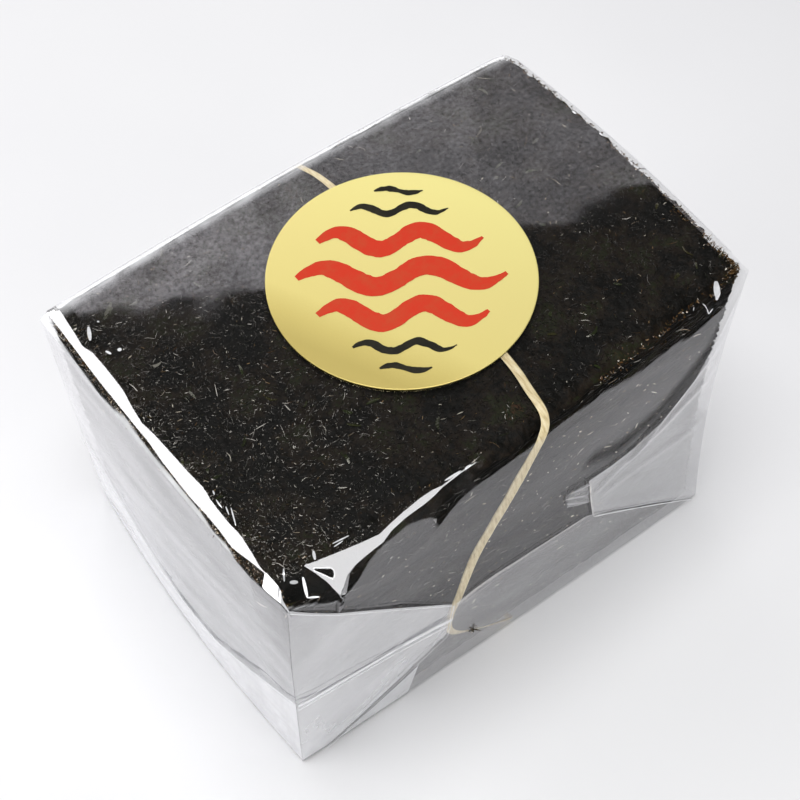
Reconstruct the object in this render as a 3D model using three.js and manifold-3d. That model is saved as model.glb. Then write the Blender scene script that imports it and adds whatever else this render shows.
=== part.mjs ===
// A stack of dried nori sheets, tied round its middle with flat twine and sealed in a clear film bag
// whose two long ends are closed by envelope folds, with a round label on top.
import * as THREE from 'three';
import { mergeVertices } from 'three/addons/utils/BufferGeometryUtils.js';
import Module from 'manifold-3d';

// Driving dimensions in millimetres: +Z is up, the visible envelope fold faces -Y.
const PACK_HEIGHT = 187;
// Film corners seen from above: front left, front right, back right, back left.
const TOP_CORNERS = [[-137, -103], [144, -87], [141, 96], [-142, 95]];
const BASE_CORNERS = [[-138, -98], [132, -104], [132, 99], [-138, 101]];

// The walls in order: front, right, back, left. Each runs from its corner to the next one.
const FRONT = 0;
const BACK = 2;
const TOP_ROUND = [6, 5, 6, 9];
const BASE_ROUND = 3;
const CORNER_ROUND = 3;
// How far the middle of each wall stands out of its corners, at the top and at the base.
const TOP_BULGE = [6, 4, 3.5, 1];
const BASE_BULGE = [1, 1, 2, 5];

// The gusset crease runs level round the two short walls.
const CREASED_WALLS = [1, 3];
const CREASE_LEVEL = 0.39;
const CREASE_HALF_WIDTH = 0.02;
const CREASE_HEIGHT = 1.2;

// Folded flaps of each long end, as corners [share along the wall, share of the height].
const FLAP_RELIEF = 0.9;
const FLAP_ROOT = 2;
const FLAPS = [
  [[0.012, 0.04], [0.36, 0.165], [0.36, 0.335], [0.012, 0.94]],
  [[0.7, 0.28], [0.988, 0.04], [0.988, 0.94], [0.672, 0.515]],
  [[0.06, 0.035], [0.96, 0.035], [0.69, 0.265], [0.375, 0.16]],
];

const TWINE_WIDTH = 3.8;
const TWINE_THICKNESS = 0.7;
const TWINE_SINK = 0.15;
const GROOVE_CLEARANCE = 0.35;
const GROOVE_REACH = 3;

// Where the twine crosses: x at stations along each face, given as [y or z, x].
const TWINE_TOP = [[86, 7], [73, 14], [0, 17], [-57, 16], [-88, 10]];
const TWINE_FRONT = [[168, -3], [126, -22], [106, -31], [76, -38.5], [50, -44], [31, -38], [21, -26], [9, -12]];
const TWINE_BASE = [[-95, -4], [0, 2], [92, 6]];
const TWINE_BACK = [[20, 6], [100, 5], [165, 5]];

const LABEL_DIAMETER = 130;
const LABEL_THICKNESS = 0.5;
const LABEL_GAP = 0.3;
const LABEL_CENTRE = [6.5, 7.5];

// Steps of the meshes.
const WALL_STEPS = 12;
const RISE_STEPS = 8;
const ROUND_STEPS = 4;
const CORNER_STEPS = 3;
const FLAP_STEPS = 6;
const TWINE_STEP = 6;
const LABEL_SIDES = 96;

const wasm = await Module();
wasm.setup();

const lerp = THREE.MathUtils.lerp;
const RIGHT_ANGLE = Math.PI / 2;

function cornerAt(index, height) {
  const low = BASE_CORNERS[index % 4];
  const high = TOP_CORNERS[index % 4];
  const share = height / PACK_HEIGHT;
  return new THREE.Vector2(lerp(low[0], high[0], share), lerp(low[1], high[1], share));
}

function outwardOf(start, end) {
  const run = end.clone().sub(start).normalize();
  return new THREE.Vector2(run.y, -run.x);
}

// How far a wall stands out of the flat between its corners.
function swell(wall, along, height) {
  const share = THREE.MathUtils.clamp(height / PACK_HEIGHT, 0, 1);
  const bulge = lerp(BASE_BULGE[wall], TOP_BULGE[wall], share) * Math.sin(Math.PI * along);
  if (!CREASED_WALLS.includes(wall)) {
    return bulge;
  }
  const nearness = 1 - Math.abs(share - CREASE_LEVEL) / CREASE_HALF_WIDTH;
  return bulge + CREASE_HEIGHT * Math.max(0, nearness);
}

function wallPoint(wall, along, height, proud = 0) {
  const start = cornerAt(wall, height);
  const end = cornerAt(wall + 1, height);
  const outward = outwardOf(start, end);
  const place = start.lerp(end, along);
  place.addScaledVector(outward, swell(wall, along, height) + proud);
  return new THREE.Vector3(place.x, place.y, height);
}

// One closed outline of the film bag; the two angles turn its edges in at the base and the top.
function outlineRing(rise, baseAngle, topAngle) {
  const heights = TOP_ROUND.map((round) => BASE_ROUND * (1 - Math.sin(baseAngle))
    + rise * (PACK_HEIGHT - BASE_ROUND - round) + round * Math.sin(topAngle));
  const insets = TOP_ROUND.map((round) => BASE_ROUND * (1 - Math.cos(baseAngle))
    + round * (1 - Math.cos(topAngle)));
  const corners = TOP_ROUND.map((_, index) => {
    const before = (index + 3) % 4;
    const height = (heights[before] + heights[index]) / 2;
    const corner = cornerAt(index, height);
    const inwardBefore = outwardOf(cornerAt(before, height), corner).negate();
    const inwardNext = outwardOf(corner, cornerAt(index + 1, height)).negate();
    corner.addScaledVector(inwardBefore, insets[before]);
    return corner.addScaledVector(inwardNext, insets[index]);
  });
  const ring = [];
  for (let wall = 0; wall < 4; wall += 1) {
    const start = corners[wall];
    const end = corners[(wall + 1) % 4];
    const outward = outwardOf(start, end);
    const trim = CORNER_ROUND / start.distanceTo(end);
    for (let step = 0; step <= WALL_STEPS; step += 1) {
      const along = lerp(trim, 1 - trim, step / WALL_STEPS);
      const place = start.clone().lerp(end, along);
      place.addScaledVector(outward, swell(wall, along, heights[wall]));
      ring.push(new THREE.Vector3(place.x, place.y, heights[wall]));
    }
    const after = corners[(wall + 2) % 4];
    const leave = ring[ring.length - 1];
    const nextWall = (wall + 1) % 4;
    const entry = end.clone().lerp(after, CORNER_ROUND / end.distanceTo(after));
    const tip = new THREE.Vector3(end.x, end.y, (heights[wall] + heights[nextWall]) / 2);
    const arrive = new THREE.Vector3(entry.x, entry.y, heights[nextWall]);
    const bend = new THREE.QuadraticBezierCurve3(leave, tip, arrive);
    for (let step = 1; step < CORNER_STEPS; step += 1) {
      ring.push(bend.getPoint(step / CORNER_STEPS));
    }
  }
  return ring;
}

function outlineRings() {
  const rings = [];
  for (let step = 0; step < ROUND_STEPS; step += 1) {
    rings.push(outlineRing(0, RIGHT_ANGLE * (1 - step / ROUND_STEPS), 0));
  }
  const rises = [CREASE_LEVEL - CREASE_HALF_WIDTH, CREASE_LEVEL, CREASE_LEVEL + CREASE_HALF_WIDTH];
  for (let step = 0; step <= RISE_STEPS; step += 1) {
    rises.push(step / RISE_STEPS);
  }
  rises.sort((a, b) => a - b);
  rises.forEach((rise) => rings.push(outlineRing(rise, 0, 0)));
  for (let step = 1; step <= ROUND_STEPS; step += 1) {
    rings.push(outlineRing(1, 0, RIGHT_ANGLE * step / ROUND_STEPS));
  }
  return rings;
}

function geometryOf(points, triangles) {
  const places = points.flatMap((point) => point.toArray());
  const geometry = new THREE.BufferGeometry();
  geometry.setAttribute('position', new THREE.Float32BufferAttribute(places, 3));
  geometry.setIndex(triangles.flat());
  return geometry;
}

function meanPoint(points) {
  const sum = points.reduce((total, point) => total.add(point), new THREE.Vector3());
  return sum.divideScalar(points.length);
}

// Skins stacked closed rings, with a flat cap at each end.
function loftGeometry(rings) {
  const size = rings[0].length;
  const points = rings.flat();
  const floor = points.push(meanPoint(rings[0])) - 1;
  const roof = points.push(meanPoint(rings[rings.length - 1])) - 1;
  const lastRing = (rings.length - 1) * size;
  const triangles = [];
  for (let step = 0; step < size; step += 1) {
    const next = (step + 1) % size;
    for (let low = 0; low < lastRing; low += size) {
      triangles.push([low + step, low + next, low + size + next]);
      triangles.push([low + step, low + size + next, low + size + step]);
    }
    triangles.push([floor, next, step]);
    triangles.push([roof, lastRing + step, lastRing + next]);
  }
  return geometryOf(points, triangles);
}

function bilinear(corners, across, up) {
  const [a, b, c, d] = corners.map((corner) => new THREE.Vector2(...corner));
  return a.lerp(b, across).lerp(d.lerp(c, across), up);
}

// The indices round the edge of a square grid of points, as one closed loop.
function gridRim(steps) {
  const side = steps + 1;
  const edges = [[0, 1], [steps, side], [side * side - 1, -1], [steps * side, -side]];
  const counts = Array.from({ length: steps }, (_, step) => step);
  return edges.flatMap(([first, stride]) => counts.map((step) => first + step * stride));
}

// A folded flap: a thin patch that follows the wall and stands a little proud of it.
function flapGeometry(wall, corners) {
  const side = FLAP_STEPS + 1;
  const points = [];
  for (const proud of [FLAP_RELIEF, -FLAP_ROOT]) {
    for (let row = 0; row < side; row += 1) {
      for (let column = 0; column < side; column += 1) {
        const place = bilinear(corners, column / FLAP_STEPS, row / FLAP_STEPS);
        points.push(wallPoint(wall, place.x, place.y * PACK_HEIGHT, proud));
      }
    }
  }
  const layer = side * side;
  const triangles = [];
  for (let row = 0; row < FLAP_STEPS; row += 1) {
    for (let column = 0; column < FLAP_STEPS; column += 1) {
      const a = row * side + column;
      const [b, c, d] = [a + 1, a + side + 1, a + side];
      triangles.push([a, b, c], [a, c, d]);
      triangles.push([layer + a, layer + c, layer + b], [layer + a, layer + d, layer + c]);
    }
  }
  const rim = gridRim(FLAP_STEPS);
  rim.forEach((from, index) => {
    const to = rim[(index + 1) % rim.length];
    triangles.push([from, layer + from, layer + to], [from, layer + to, to]);
  });
  return geometryOf(points, triangles);
}

// The y of the front or back wall at a given x and height.
function wallDepth(wall, x, height) {
  const start = cornerAt(wall, height);
  const end = cornerAt(wall + 1, height);
  return wallPoint(wall, (x - start.x) / (end.x - start.x), height).y;
}

// One face of the twine's way round, as evenly spaced [level, x] pairs along a smooth curve.
function faceStations(stations) {
  const curve = new THREE.CatmullRomCurve3(stations.map(([level, x]) => new THREE.Vector3(x, level, 0)));
  const count = Math.max(2, Math.round(curve.getLength() / TWINE_STEP));
  return curve.getSpacedPoints(count).map((point) => [point.y, point.x]);
}

// Turns over a rounded edge between two faces, from one angle to the other about the edge's centre.
function edgeTurn(wall, x, round, centreHeight, fromAngle, toAngle) {
  const outward = wall === FRONT ? -1 : 1;
  const centre = wallDepth(wall, x, centreHeight) - outward * round;
  const turn = [];
  for (let step = 0; step <= ROUND_STEPS; step += 1) {
    const angle = lerp(fromAngle, toAngle, step / ROUND_STEPS);
    const normal = new THREE.Vector3(0, outward * Math.cos(angle), Math.sin(angle));
    const place = new THREE.Vector3(x, centre, centreHeight).addScaledVector(normal, round);
    turn.push({ place, normal });
  }
  return turn;
}

// The closed way of the twine on the film's surface: over the top, down the front, under and up the back.
function twineWay() {
  const flat = (height, up) => ([y, x]) => ({
    place: new THREE.Vector3(x, y, height),
    normal: new THREE.Vector3(0, 0, up),
  });
  const upright = (wall) => ([z, x]) => ({
    place: new THREE.Vector3(x, wallDepth(wall, x, z), z),
    normal: new THREE.Vector3(0, wall === FRONT ? -1 : 1, 0),
  });
  const topFront = PACK_HEIGHT - TOP_ROUND[FRONT];
  const topBack = PACK_HEIGHT - TOP_ROUND[BACK];
  const firstOf = (stations) => stations[0][1];
  const lastOf = (stations) => stations[stations.length - 1][1];
  const between = (a, b) => (lastOf(a) + firstOf(b)) / 2;
  return [
    ...faceStations(TWINE_TOP).map(flat(PACK_HEIGHT, 1)),
    ...edgeTurn(FRONT, between(TWINE_TOP, TWINE_FRONT), TOP_ROUND[FRONT], topFront, RIGHT_ANGLE, 0),
    ...faceStations(TWINE_FRONT).map(upright(FRONT)),
    ...edgeTurn(FRONT, between(TWINE_FRONT, TWINE_BASE), BASE_ROUND, BASE_ROUND, 0, -RIGHT_ANGLE),
    ...faceStations(TWINE_BASE).map(flat(0, -1)),
    ...edgeTurn(BACK, between(TWINE_BASE, TWINE_BACK), BASE_ROUND, BASE_ROUND, -RIGHT_ANGLE, 0),
    ...faceStations(TWINE_BACK).map(upright(BACK)),
    ...edgeTurn(BACK, between(TWINE_BACK, TWINE_TOP), TOP_ROUND[BACK], topBack, 0, RIGHT_ANGLE),
  ];
}

// A closed flat band along the way, between two depths measured outwards from the surface.
function bandGeometry(way, width, outer, inner) {
  const points = [];
  way.forEach(({ place, normal }, index) => {
    const ahead = way[(index + 1) % way.length].place;
    const behind = way[(index + way.length - 1) % way.length].place;
    const run = ahead.clone().sub(behind);
    const across = run.cross(normal).normalize();
    for (const [sideways, depth] of [[0.5, outer], [-0.5, outer], [-0.5, inner], [0.5, inner]]) {
      points.push(place.clone().addScaledVector(across, sideways * width).addScaledVector(normal, depth));
    }
  });
  const triangles = [];
  way.forEach((_, index) => {
    const here = index * 4;
    const there = ((index + 1) % way.length) * 4;
    for (let side = 0; side < 4; side += 1) {
      const next = (side + 1) % 4;
      triangles.push([here + side, there + side, there + next], [here + side, there + next, here + next]);
    }
  });
  return geometryOf(points, triangles);
}

function solidOf(geometry) {
  const merged = mergeVertices(geometry);
  return new wasm.Manifold(new wasm.Mesh({
    numProp: 3,
    vertProperties: Float32Array.from(merged.attributes.position.array),
    triVerts: Uint32Array.from(merged.index.array),
  }));
}

function geometryFrom(solid) {
  const mesh = solid.getMesh();
  const geometry = new THREE.BufferGeometry();
  geometry.setAttribute('position', new THREE.Float32BufferAttribute(mesh.vertProperties, 3));
  geometry.setIndex(Array.from(mesh.triVerts));
  return geometry;
}

function pieceOf(name, geometry, colour, roughness, metalness) {
  geometry.computeVertexNormals();
  const material = new THREE.MeshStandardMaterial({ color: colour, roughness, metalness });
  const piece = new THREE.Mesh(geometry, material);
  piece.name = name;
  return piece;
}

function packGeometry(way) {
  let solid = solidOf(loftGeometry(outlineRings()));
  for (const wall of [FRONT, BACK]) {
    for (const corners of FLAPS) {
      solid = solid.add(solidOf(flapGeometry(wall, corners)));
    }
  }
  const depth = TWINE_SINK + TWINE_THICKNESS + GROOVE_CLEARANCE;
  const groove = bandGeometry(way, TWINE_WIDTH + 2 * GROOVE_CLEARANCE, GROOVE_REACH, -depth);
  return geometryFrom(solid.subtract(solidOf(groove)));
}

function labelGeometry() {
  const radius = LABEL_DIAMETER / 2;
  const disc = new THREE.CylinderGeometry(radius, radius, LABEL_THICKNESS, LABEL_SIDES);
  disc.rotateX(RIGHT_ANGLE);
  disc.translate(...LABEL_CENTRE, PACK_HEIGHT + LABEL_GAP + LABEL_THICKNESS / 2);
  return disc;
}

const way = twineWay();
const twineDepth = TWINE_SINK + TWINE_THICKNESS;
const film = pieceOf('film_pack', packGeometry(way), 0x24231f, 0.25, 0);
const twine = pieceOf('twine', bandGeometry(way, TWINE_WIDTH, -TWINE_SINK, -twineDepth), 0xe6d7a5, 0.8, 0);
const label = pieceOf('label', labelGeometry(), 0xe2d186, 0.35, 0.6);

// The origin is the middle of the base.
const bounds = new THREE.Box3().setFromObject(film);
const middle = bounds.getCenter(new THREE.Vector3());
const pack = new THREE.Group();
pack.add(film, twine, label);
pack.position.set(-middle.x, -middle.y, -bounds.min.z);

export default pack;
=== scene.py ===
"""Looks of a tied stack of dried nori sheets, sealed in clear film with a round gold label on top."""
import itertools
import math

import bpy
import numpy as np
from mathutils import Matrix, Vector


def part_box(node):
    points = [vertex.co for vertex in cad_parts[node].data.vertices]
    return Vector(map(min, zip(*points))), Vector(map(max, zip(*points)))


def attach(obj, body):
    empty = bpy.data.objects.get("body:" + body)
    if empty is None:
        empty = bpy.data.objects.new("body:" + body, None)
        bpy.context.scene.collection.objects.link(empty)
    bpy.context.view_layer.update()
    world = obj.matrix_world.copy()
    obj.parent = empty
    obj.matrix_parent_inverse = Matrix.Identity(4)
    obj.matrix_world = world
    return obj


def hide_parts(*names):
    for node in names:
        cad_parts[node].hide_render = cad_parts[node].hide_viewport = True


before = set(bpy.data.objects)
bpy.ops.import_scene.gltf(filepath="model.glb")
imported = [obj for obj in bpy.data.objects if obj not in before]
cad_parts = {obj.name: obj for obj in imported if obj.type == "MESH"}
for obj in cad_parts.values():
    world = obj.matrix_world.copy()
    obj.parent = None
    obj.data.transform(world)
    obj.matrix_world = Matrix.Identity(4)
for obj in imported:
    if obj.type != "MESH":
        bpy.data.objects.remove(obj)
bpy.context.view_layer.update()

# Driving sizes in millimetres, in the drawing's own frame: +Z up, the visible envelope fold faces -Y.
MM = 0.001
PACK_HEIGHT = 187.0
TOP_CORNERS = np.array([(-137, -103), (144, -87), (144.2, 97.4), (-142, 95)], float)
BASE_CORNERS = np.array([(-138, -98), (132, -104), (132, 99), (-138, 101)], float)
LABEL_DIAMETER = 130.0
LABEL_THICKNESS = 0.5
LABEL_CENTRE = np.array([6.5, 7.5])

# The walls in order: front, right, back, left. Each runs from its corner to the next one.
FRONT, RIGHT, BACK, LEFT = range(4)
# A form has corners, and bulges of its walls, each at the base and at the top.
FILM_FORM = ((BASE_CORNERS, TOP_CORNERS), ((1.0, 1.0, 2.0, 5.0), (6.0, 4.0, 3.5, 1.0)))
BASE_LIFT = 0.3
# Nominal sides of the film's top, along which its grid counts insets.
WIDTH, DEPTH = 282.0, 195.0
# The blunt upper corners: their places, how far they are drawn in, and how far round and down that reaches.
BLUNT_CORNERS = [((-137, -103), (2.6, 2.4), 26.0), ((144.2, 97.4), (-3.2, -3.0), 10.0)]
BLUNT_DEPTH = 60.0
# How far each upright edge is drawn in at half height.
WAISTS = np.array([(0, 0), (-5, 1.5), (0, 0), (0, 0)], float)

# The drawing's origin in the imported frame, from the label's place in both.
label_low, label_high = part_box("label")
LABEL_TOP = label_high.z / MM
SHIFT = np.array([(low + high) / 2 / MM for low, high in zip(label_low, label_high)])
SHIFT[:2] -= LABEL_CENTRE
SHIFT[2] = 0.0

# The gusset crease of the two short walls, as (share along from the back, share of the height).
CREASE_LINE = [
    (0.0, 0.36), (0.2, 0.235), (0.35, 0.19), (0.5, 0.193), (0.65, 0.205), (0.8, 0.30), (0.95, 0.417),
    (1.0, 0.455),
]
CREASE_HALF_WIDTH = 3.2
CREASE_HEIGHT = 0.6
CREASE_WIDTH = 1.5

# The stack of sheets inside the film.
NORI_TOP = 183.5
NORI_TOP_CORNERS = np.array([(-135.5, -100.5), (141.5, -83.5), (143.4, 96.7), (-138, 93)], float)
NORI_BASE_CORNERS = np.array([(-134, -94), (128, -100), (128, 95), (-134, 97)], float)
NORI_FORM = ((NORI_BASE_CORNERS, NORI_TOP_CORNERS), ((0.5, 0.5, 1.0, 3.5), (4.6, 4.0, 3.6, 2.4)))
SHEET_COUNT = 96
SHEET_THICKNESS = 0.55
RIM_WIDTH = 11.0
# How far below the film's top these stay: the sheets' edges, the middles of blades, and all of each blade.
EDGE_GAP, BLADE_GAP, SKIN_GAP = 1.0, 0.7, 0.3

# The twine: x at stations along each face, given as (y or z, x).
TWINE_WIDTH = 3.8
TWINE_TOP = [(97.4, 7.8), (93, 8.6), (74, 13), (0, 17), (-57, 16.9), (-79, 13.9), (-90, 12.0), (-94, 10.4),
             (-97.5, 8)]
TWINE_FRONT = [(181, 3.4), (165.5, -3.7), (146, -12.3), (126, -22.2), (106, -31), (76, -38.5), (57.5, -43.9),
               (47, -45), (38, -43), (30, -38), (21, -27.5), (11.5, -15), (4, -2)]
TWINE_BASE = [(-95, -4), (0, 2), (92, 6)]
TWINE_BACK = [(20, 6), (100, 5), (165, 5), (179, 6.4)]
# How deep it lies under the film, how much deeper amid the front wall, and how far it is turned there.
TWINE_DEPTH, TWINE_FRONT_DEPTH, TWINE_FRONT_TWIST = 0.8, 0.9, 0.45

# The camera, from a fit to the photograph: its aim in the drawing's frame, and its angles.
CAMERA_AIM = np.array([-36.4, -48.2, 187.4])
CAMERA_DISTANCE = 682.3
CAMERA_AZIMUTH = -36.4
CAMERA_ELEVATION = 56.9
CAMERA_ROLL = -0.57
FOCAL_PIXELS = 1516.0
IMAGE_PIXELS = 800.0
SENSOR_WIDTH = 36.0


# Small tools for arrays of points.
def lerp(a, b, share):
    return a + (b - a) * share


def ramp(value, start, end):
    """0 up to start, 1 from end on, and straight between."""
    return np.clip((value - start) / (end - start), 0.0, 1.0)


def lump_noise(points, size, seed):
    """Smooth noise between about -1 and 1, with lumps of the given size (one number or one per axis)."""
    cells = np.asarray(points, float) / np.asarray(size, float)
    low = np.floor(cells).astype(np.int64)
    share = cells - low
    share = share * share * (3 - 2 * share)
    table = np.random.default_rng(seed).uniform(-1, 1, 8192)
    primes = np.array([73856093, 19349663, 83492791])[: cells.shape[1]]
    total = np.zeros(len(cells))
    for corner in itertools.product((0, 1), repeat=cells.shape[1]):
        spot = low + np.array(corner)
        weight = np.where(corner, share, 1 - share).prod(axis=1)
        total += weight * table[np.bitwise_xor.reduce(spot * primes, axis=1) % len(table)]
    return total


def turned(points, degrees):
    """Points of a plane, turned about the origin."""
    angle = math.radians(degrees)
    turn = np.array([(math.cos(angle), math.sin(angle)), (-math.sin(angle), math.cos(angle))])
    return points @ turn


def unit(vectors):
    return vectors / np.linalg.norm(vectors, axis=1, keepdims=True)


def stations(table, spots):
    """The columns of a table of stations, each at the given spots along the table's first column."""
    table = np.array(sorted(table), float)
    return [np.interp(spots, table[:, 0], column) for column in table.T[1:]]


def line_gap(places, start, end):
    """Shares along the line between two points of a plane, and distances from it."""
    start, end = np.array(start, float), np.array(end, float)
    run = end - start
    share = np.clip(((places - start) @ run) / (run @ run), 0, 1)
    return share, np.linalg.norm(places - start - share[:, None] * run, axis=1)


def line_nearness(places, start, end, half_width):
    """1 on the line between two points of a plane, falling to 0 at the half width."""
    return np.clip(1 - line_gap(places, start, end)[1] / half_width, 0, None)


def between(corners, across, deep):
    """Places between four corners, in the order of the walls, at shares across and deep."""
    across, deep = across[:, None], deep[:, None]
    return lerp(lerp(corners[0], corners[1], across), lerp(corners[3], corners[2], across), deep)


def grid_shares(across, deep):
    """Both shares at each point of a grid that is stored row by row."""
    return [axis.ravel() for axis in np.meshgrid(across, deep)]


def grid_faces(rows, columns):
    """Quads of a grid of points that are stored row by row."""
    row, column = np.meshgrid(np.arange(rows - 1), np.arange(columns - 1), indexing="ij")
    corner = (row * columns + column).ravel()
    return np.stack([corner, corner + 1, corner + columns + 1, corner + columns], axis=1)


def ring_faces(rings, count):
    """Quads between closed rings of points that are stored ring by ring."""
    ring = np.arange(count)
    following = (ring + 1) % count
    low = np.arange(rings - 1)[:, None] * count
    quads = [low + ring, low + following, low + count + following, low + count + ring]
    return np.stack(quads, axis=-1).reshape(-1, 4)


def edge_spacing(length, coarse, fine=0.3, growth=0.12):
    """Shares from 0 to 1 along a length, close together near both ends."""
    steps = [0.0]
    while steps[-1] < length / 2 - coarse:
        steps.append(steps[-1] + min(coarse, fine + growth * len(steps)))
    half = np.array(steps) / length
    middle = np.linspace(half[-1], 1 - half[-1], 4)[1:-1]
    return np.concatenate([half, middle, 1 - half[::-1]])


def finer(shares, spans, length=1.0):
    """Shares along a length, with further ones in spans given as (first, last, count)."""
    for first, last, count in spans:
        shares = np.union1d(shares, np.linspace(first, last, count) / length)
    return shares


def joined(parts):
    """Joins (points, faces) pairs into one pair."""
    counts = [len(points) for points, _ in parts]
    firsts = np.cumsum([0, *counts[:-1]])
    faces = [part_faces + first for (_, part_faces), first in zip(parts, firsts)]
    return np.concatenate([points for points, _ in parts]), np.concatenate(faces)


def add_piece(name, points, faces, material, slot, replaces=None, **values):
    """One visible piece that rides on the pack, from points in millimetres and faces as rows of indices."""
    mesh = bpy.data.meshes.new(name)
    mesh.from_pydata(((points + SHIFT) * MM).tolist(), [], np.asarray(faces).tolist())
    for value_name, numbers in values.items():
        attribute = mesh.attributes.new(value_name, "FLOAT", "POINT")
        attribute.data.foreach_set("value", np.full(len(points), numbers, np.float32))
    mesh.polygons.foreach_set("use_smooth", np.full(len(mesh.polygons), True))
    mesh.materials.append(material)
    piece = bpy.data.objects.new(name, mesh)
    bpy.context.scene.collection.objects.link(piece)
    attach(piece, "root")
    if replaces:
        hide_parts(replaces)


# Small tools for materials.
def feed(tree, socket, value):
    """Links an output to a socket, or sets the socket to a plain value."""
    if isinstance(value, bpy.types.NodeSocket):
        tree.links.new(value, socket)
    else:
        socket.default_value = value


def add_node(tree, kind, **settings):
    """A node with some of its inputs or properties set by name."""
    node = tree.nodes.new(kind)
    for key, value in settings.items():
        if key in node.inputs:
            feed(tree, node.inputs[key], value)
        else:
            setattr(node, key, value)
    return node


def new_material(name):
    """A material, its empty node tree, and the place on the object as an output in it."""
    material = bpy.data.materials.new(name)
    material.use_nodes = True
    tree = material.node_tree
    tree.nodes.clear()
    return material, tree, add_node(tree, "ShaderNodeTexCoord").outputs["Object"]


def show(tree, shader):
    output = tree.nodes.new("ShaderNodeOutputMaterial")
    tree.links.new(shader.outputs[0], output.inputs["Surface"])


def show_principled(tree, **settings):
    show(tree, add_node(tree, "ShaderNodeBsdfPrincipled", **settings))


def mixed(tree, share, first, second):
    """A mix of two shaders."""
    node = add_node(tree, "ShaderNodeMixShader", Fac=share)
    tree.links.new(first.outputs[0], node.inputs[1])
    tree.links.new(second.outputs[0], node.inputs[2])
    return node


def add_math(tree, operation, *values):
    node = add_node(tree, "ShaderNodeMath", operation=operation)
    for socket, value in zip(node.inputs, values):
        feed(tree, socket, value)
    return node.outputs[0]


def add_noise(tree, place, scale, detail=4.0, roughness=0.6, stretch=(1, 1, 1)):
    mapping = add_node(tree, "ShaderNodeMapping", Vector=place, Scale=stretch)
    noise = add_node(tree, "ShaderNodeTexNoise", Vector=mapping.outputs["Vector"], Scale=scale, Detail=detail,
                     Roughness=roughness)
    return noise.outputs["Fac"]


def add_ramp(tree, value, stops):
    """A colour ramp from (position, (r, g, b)) stops."""
    node = add_node(tree, "ShaderNodeValToRGB", Fac=value)
    elements = node.color_ramp.elements
    while len(elements) < len(stops):
        elements.new(0.5)
    for element, (position, colour) in zip(elements, stops):
        element.position = position
        element.color = (*colour, 1.0)
    return node.outputs["Color"]


def add_bump(tree, height, strength, distance):
    node = add_node(tree, "ShaderNodeBump", Height=height, Strength=strength, Distance=distance)
    return node.outputs["Normal"]


def point_value(tree, name):
    return add_node(tree, "ShaderNodeAttribute", attribute_name=name).outputs["Fac"]


# Materials. One face of the film mirrors this share head on, and more towards grazing by this power.
FACE_MIRROR, GRAZING_POWER = 0.043, 6.2
FILM_MOTTLE, LEVEL_POWER = 3.6, 12.0


def upward_share(tree):
    """1 where a surface lies level, falling quickly to 0 where it slopes."""
    normal = add_node(tree, "ShaderNodeNewGeometry").outputs["Normal"]
    level = add_node(tree, "ShaderNodeSeparateXYZ", Vector=normal).outputs["Z"]
    return add_math(tree, "POWER", add_math(tree, "MAXIMUM", level, 0.0), LEVEL_POWER)


def film_material(name, colour, roughness):
    """Thin clear film: the layers value counts its faces that mirror, and where it is raised or cut in
    patches it paints highlights and dark reflections; the haze value whitens it.
    """
    material, tree, place = new_material(name)
    facing = add_node(tree, "ShaderNodeLayerWeight", Blend=0.5).outputs["Facing"]
    grazing = add_math(tree, "POWER", facing, GRAZING_POWER)
    single = add_math(tree, "MULTIPLY_ADD", grazing, 1 - FACE_MIRROR, FACE_MIRROR)
    grain = add_noise(tree, place, 380.0, detail=6.0, roughness=0.75)
    mottle = add_math(tree, "MULTIPLY", add_math(tree, "SUBTRACT", grain, 0.5), FILM_MOTTLE)
    uneven = add_math(tree, "MULTIPLY_ADD", mottle, upward_share(tree), 1.0)
    layers = add_math(tree, "MULTIPLY", point_value(tree, "layers"), uneven)
    others = add_math(tree, "SUBTRACT", layers, 1.0)
    mirrored = add_math(tree, "DIVIDE", add_math(tree, "MULTIPLY", layers, single),
                        add_math(tree, "MULTIPLY_ADD", others, single, 1.0))
    smear = add_noise(tree, place, 30.0, stretch=(1, 2, 0.6))
    haze = add_math(tree, "MULTIPLY", point_value(tree, "haze"),
                    add_math(tree, "MULTIPLY_ADD", smear, 0.9, 0.55))
    clear = add_node(tree, "ShaderNodeBsdfTransparent")
    milky = add_node(tree, "ShaderNodeBsdfDiffuse", Color=(*colour, 1.0))
    gloss = add_node(tree, "ShaderNodeBsdfGlossy", Color=(0.99, 0.984, 1.0, 1.0), Roughness=roughness)
    show(tree, mixed(tree, mirrored, mixed(tree, haze, clear, milky), gloss))
    return material


def nori_material(name, stretch):
    """Pressed dried seaweed: black-brown with green and red-brown spots, crinkled and slightly glossy."""
    material, tree, place = new_material(name)
    patches = add_noise(tree, place, 45.0, detail=6.0, stretch=stretch)
    fibres = add_noise(tree, place, 420.0, detail=5.0, roughness=0.7, stretch=stretch)
    mottle = add_math(tree, "MULTIPLY_ADD", add_math(tree, "SUBTRACT", fibres, 0.5), 0.5, patches)
    colour = add_ramp(tree, mottle, [
        (0.30, (0.0012, 0.0014, 0.0010)), (0.46, (0.0036, 0.0031, 0.0022)), (0.57, (0.013, 0.0088, 0.0056)),
        (0.67, (0.012, 0.015, 0.0055)), (0.77, (0.042, 0.020, 0.010)),
    ])
    crinkle = add_noise(tree, place, 110.0, detail=3.0, stretch=stretch)
    height = add_math(tree, "MULTIPLY_ADD", fibres, 0.6, crinkle)
    gloss = add_math(tree, "MULTIPLY_ADD", patches, 0.35, 0.28)
    show_principled(tree, **{"Base Color": colour, "Roughness": gloss, "Specular IOR Level": 0.085,
                               "Normal": add_bump(tree, height, 0.8, 0.0012)})
    return material


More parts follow.
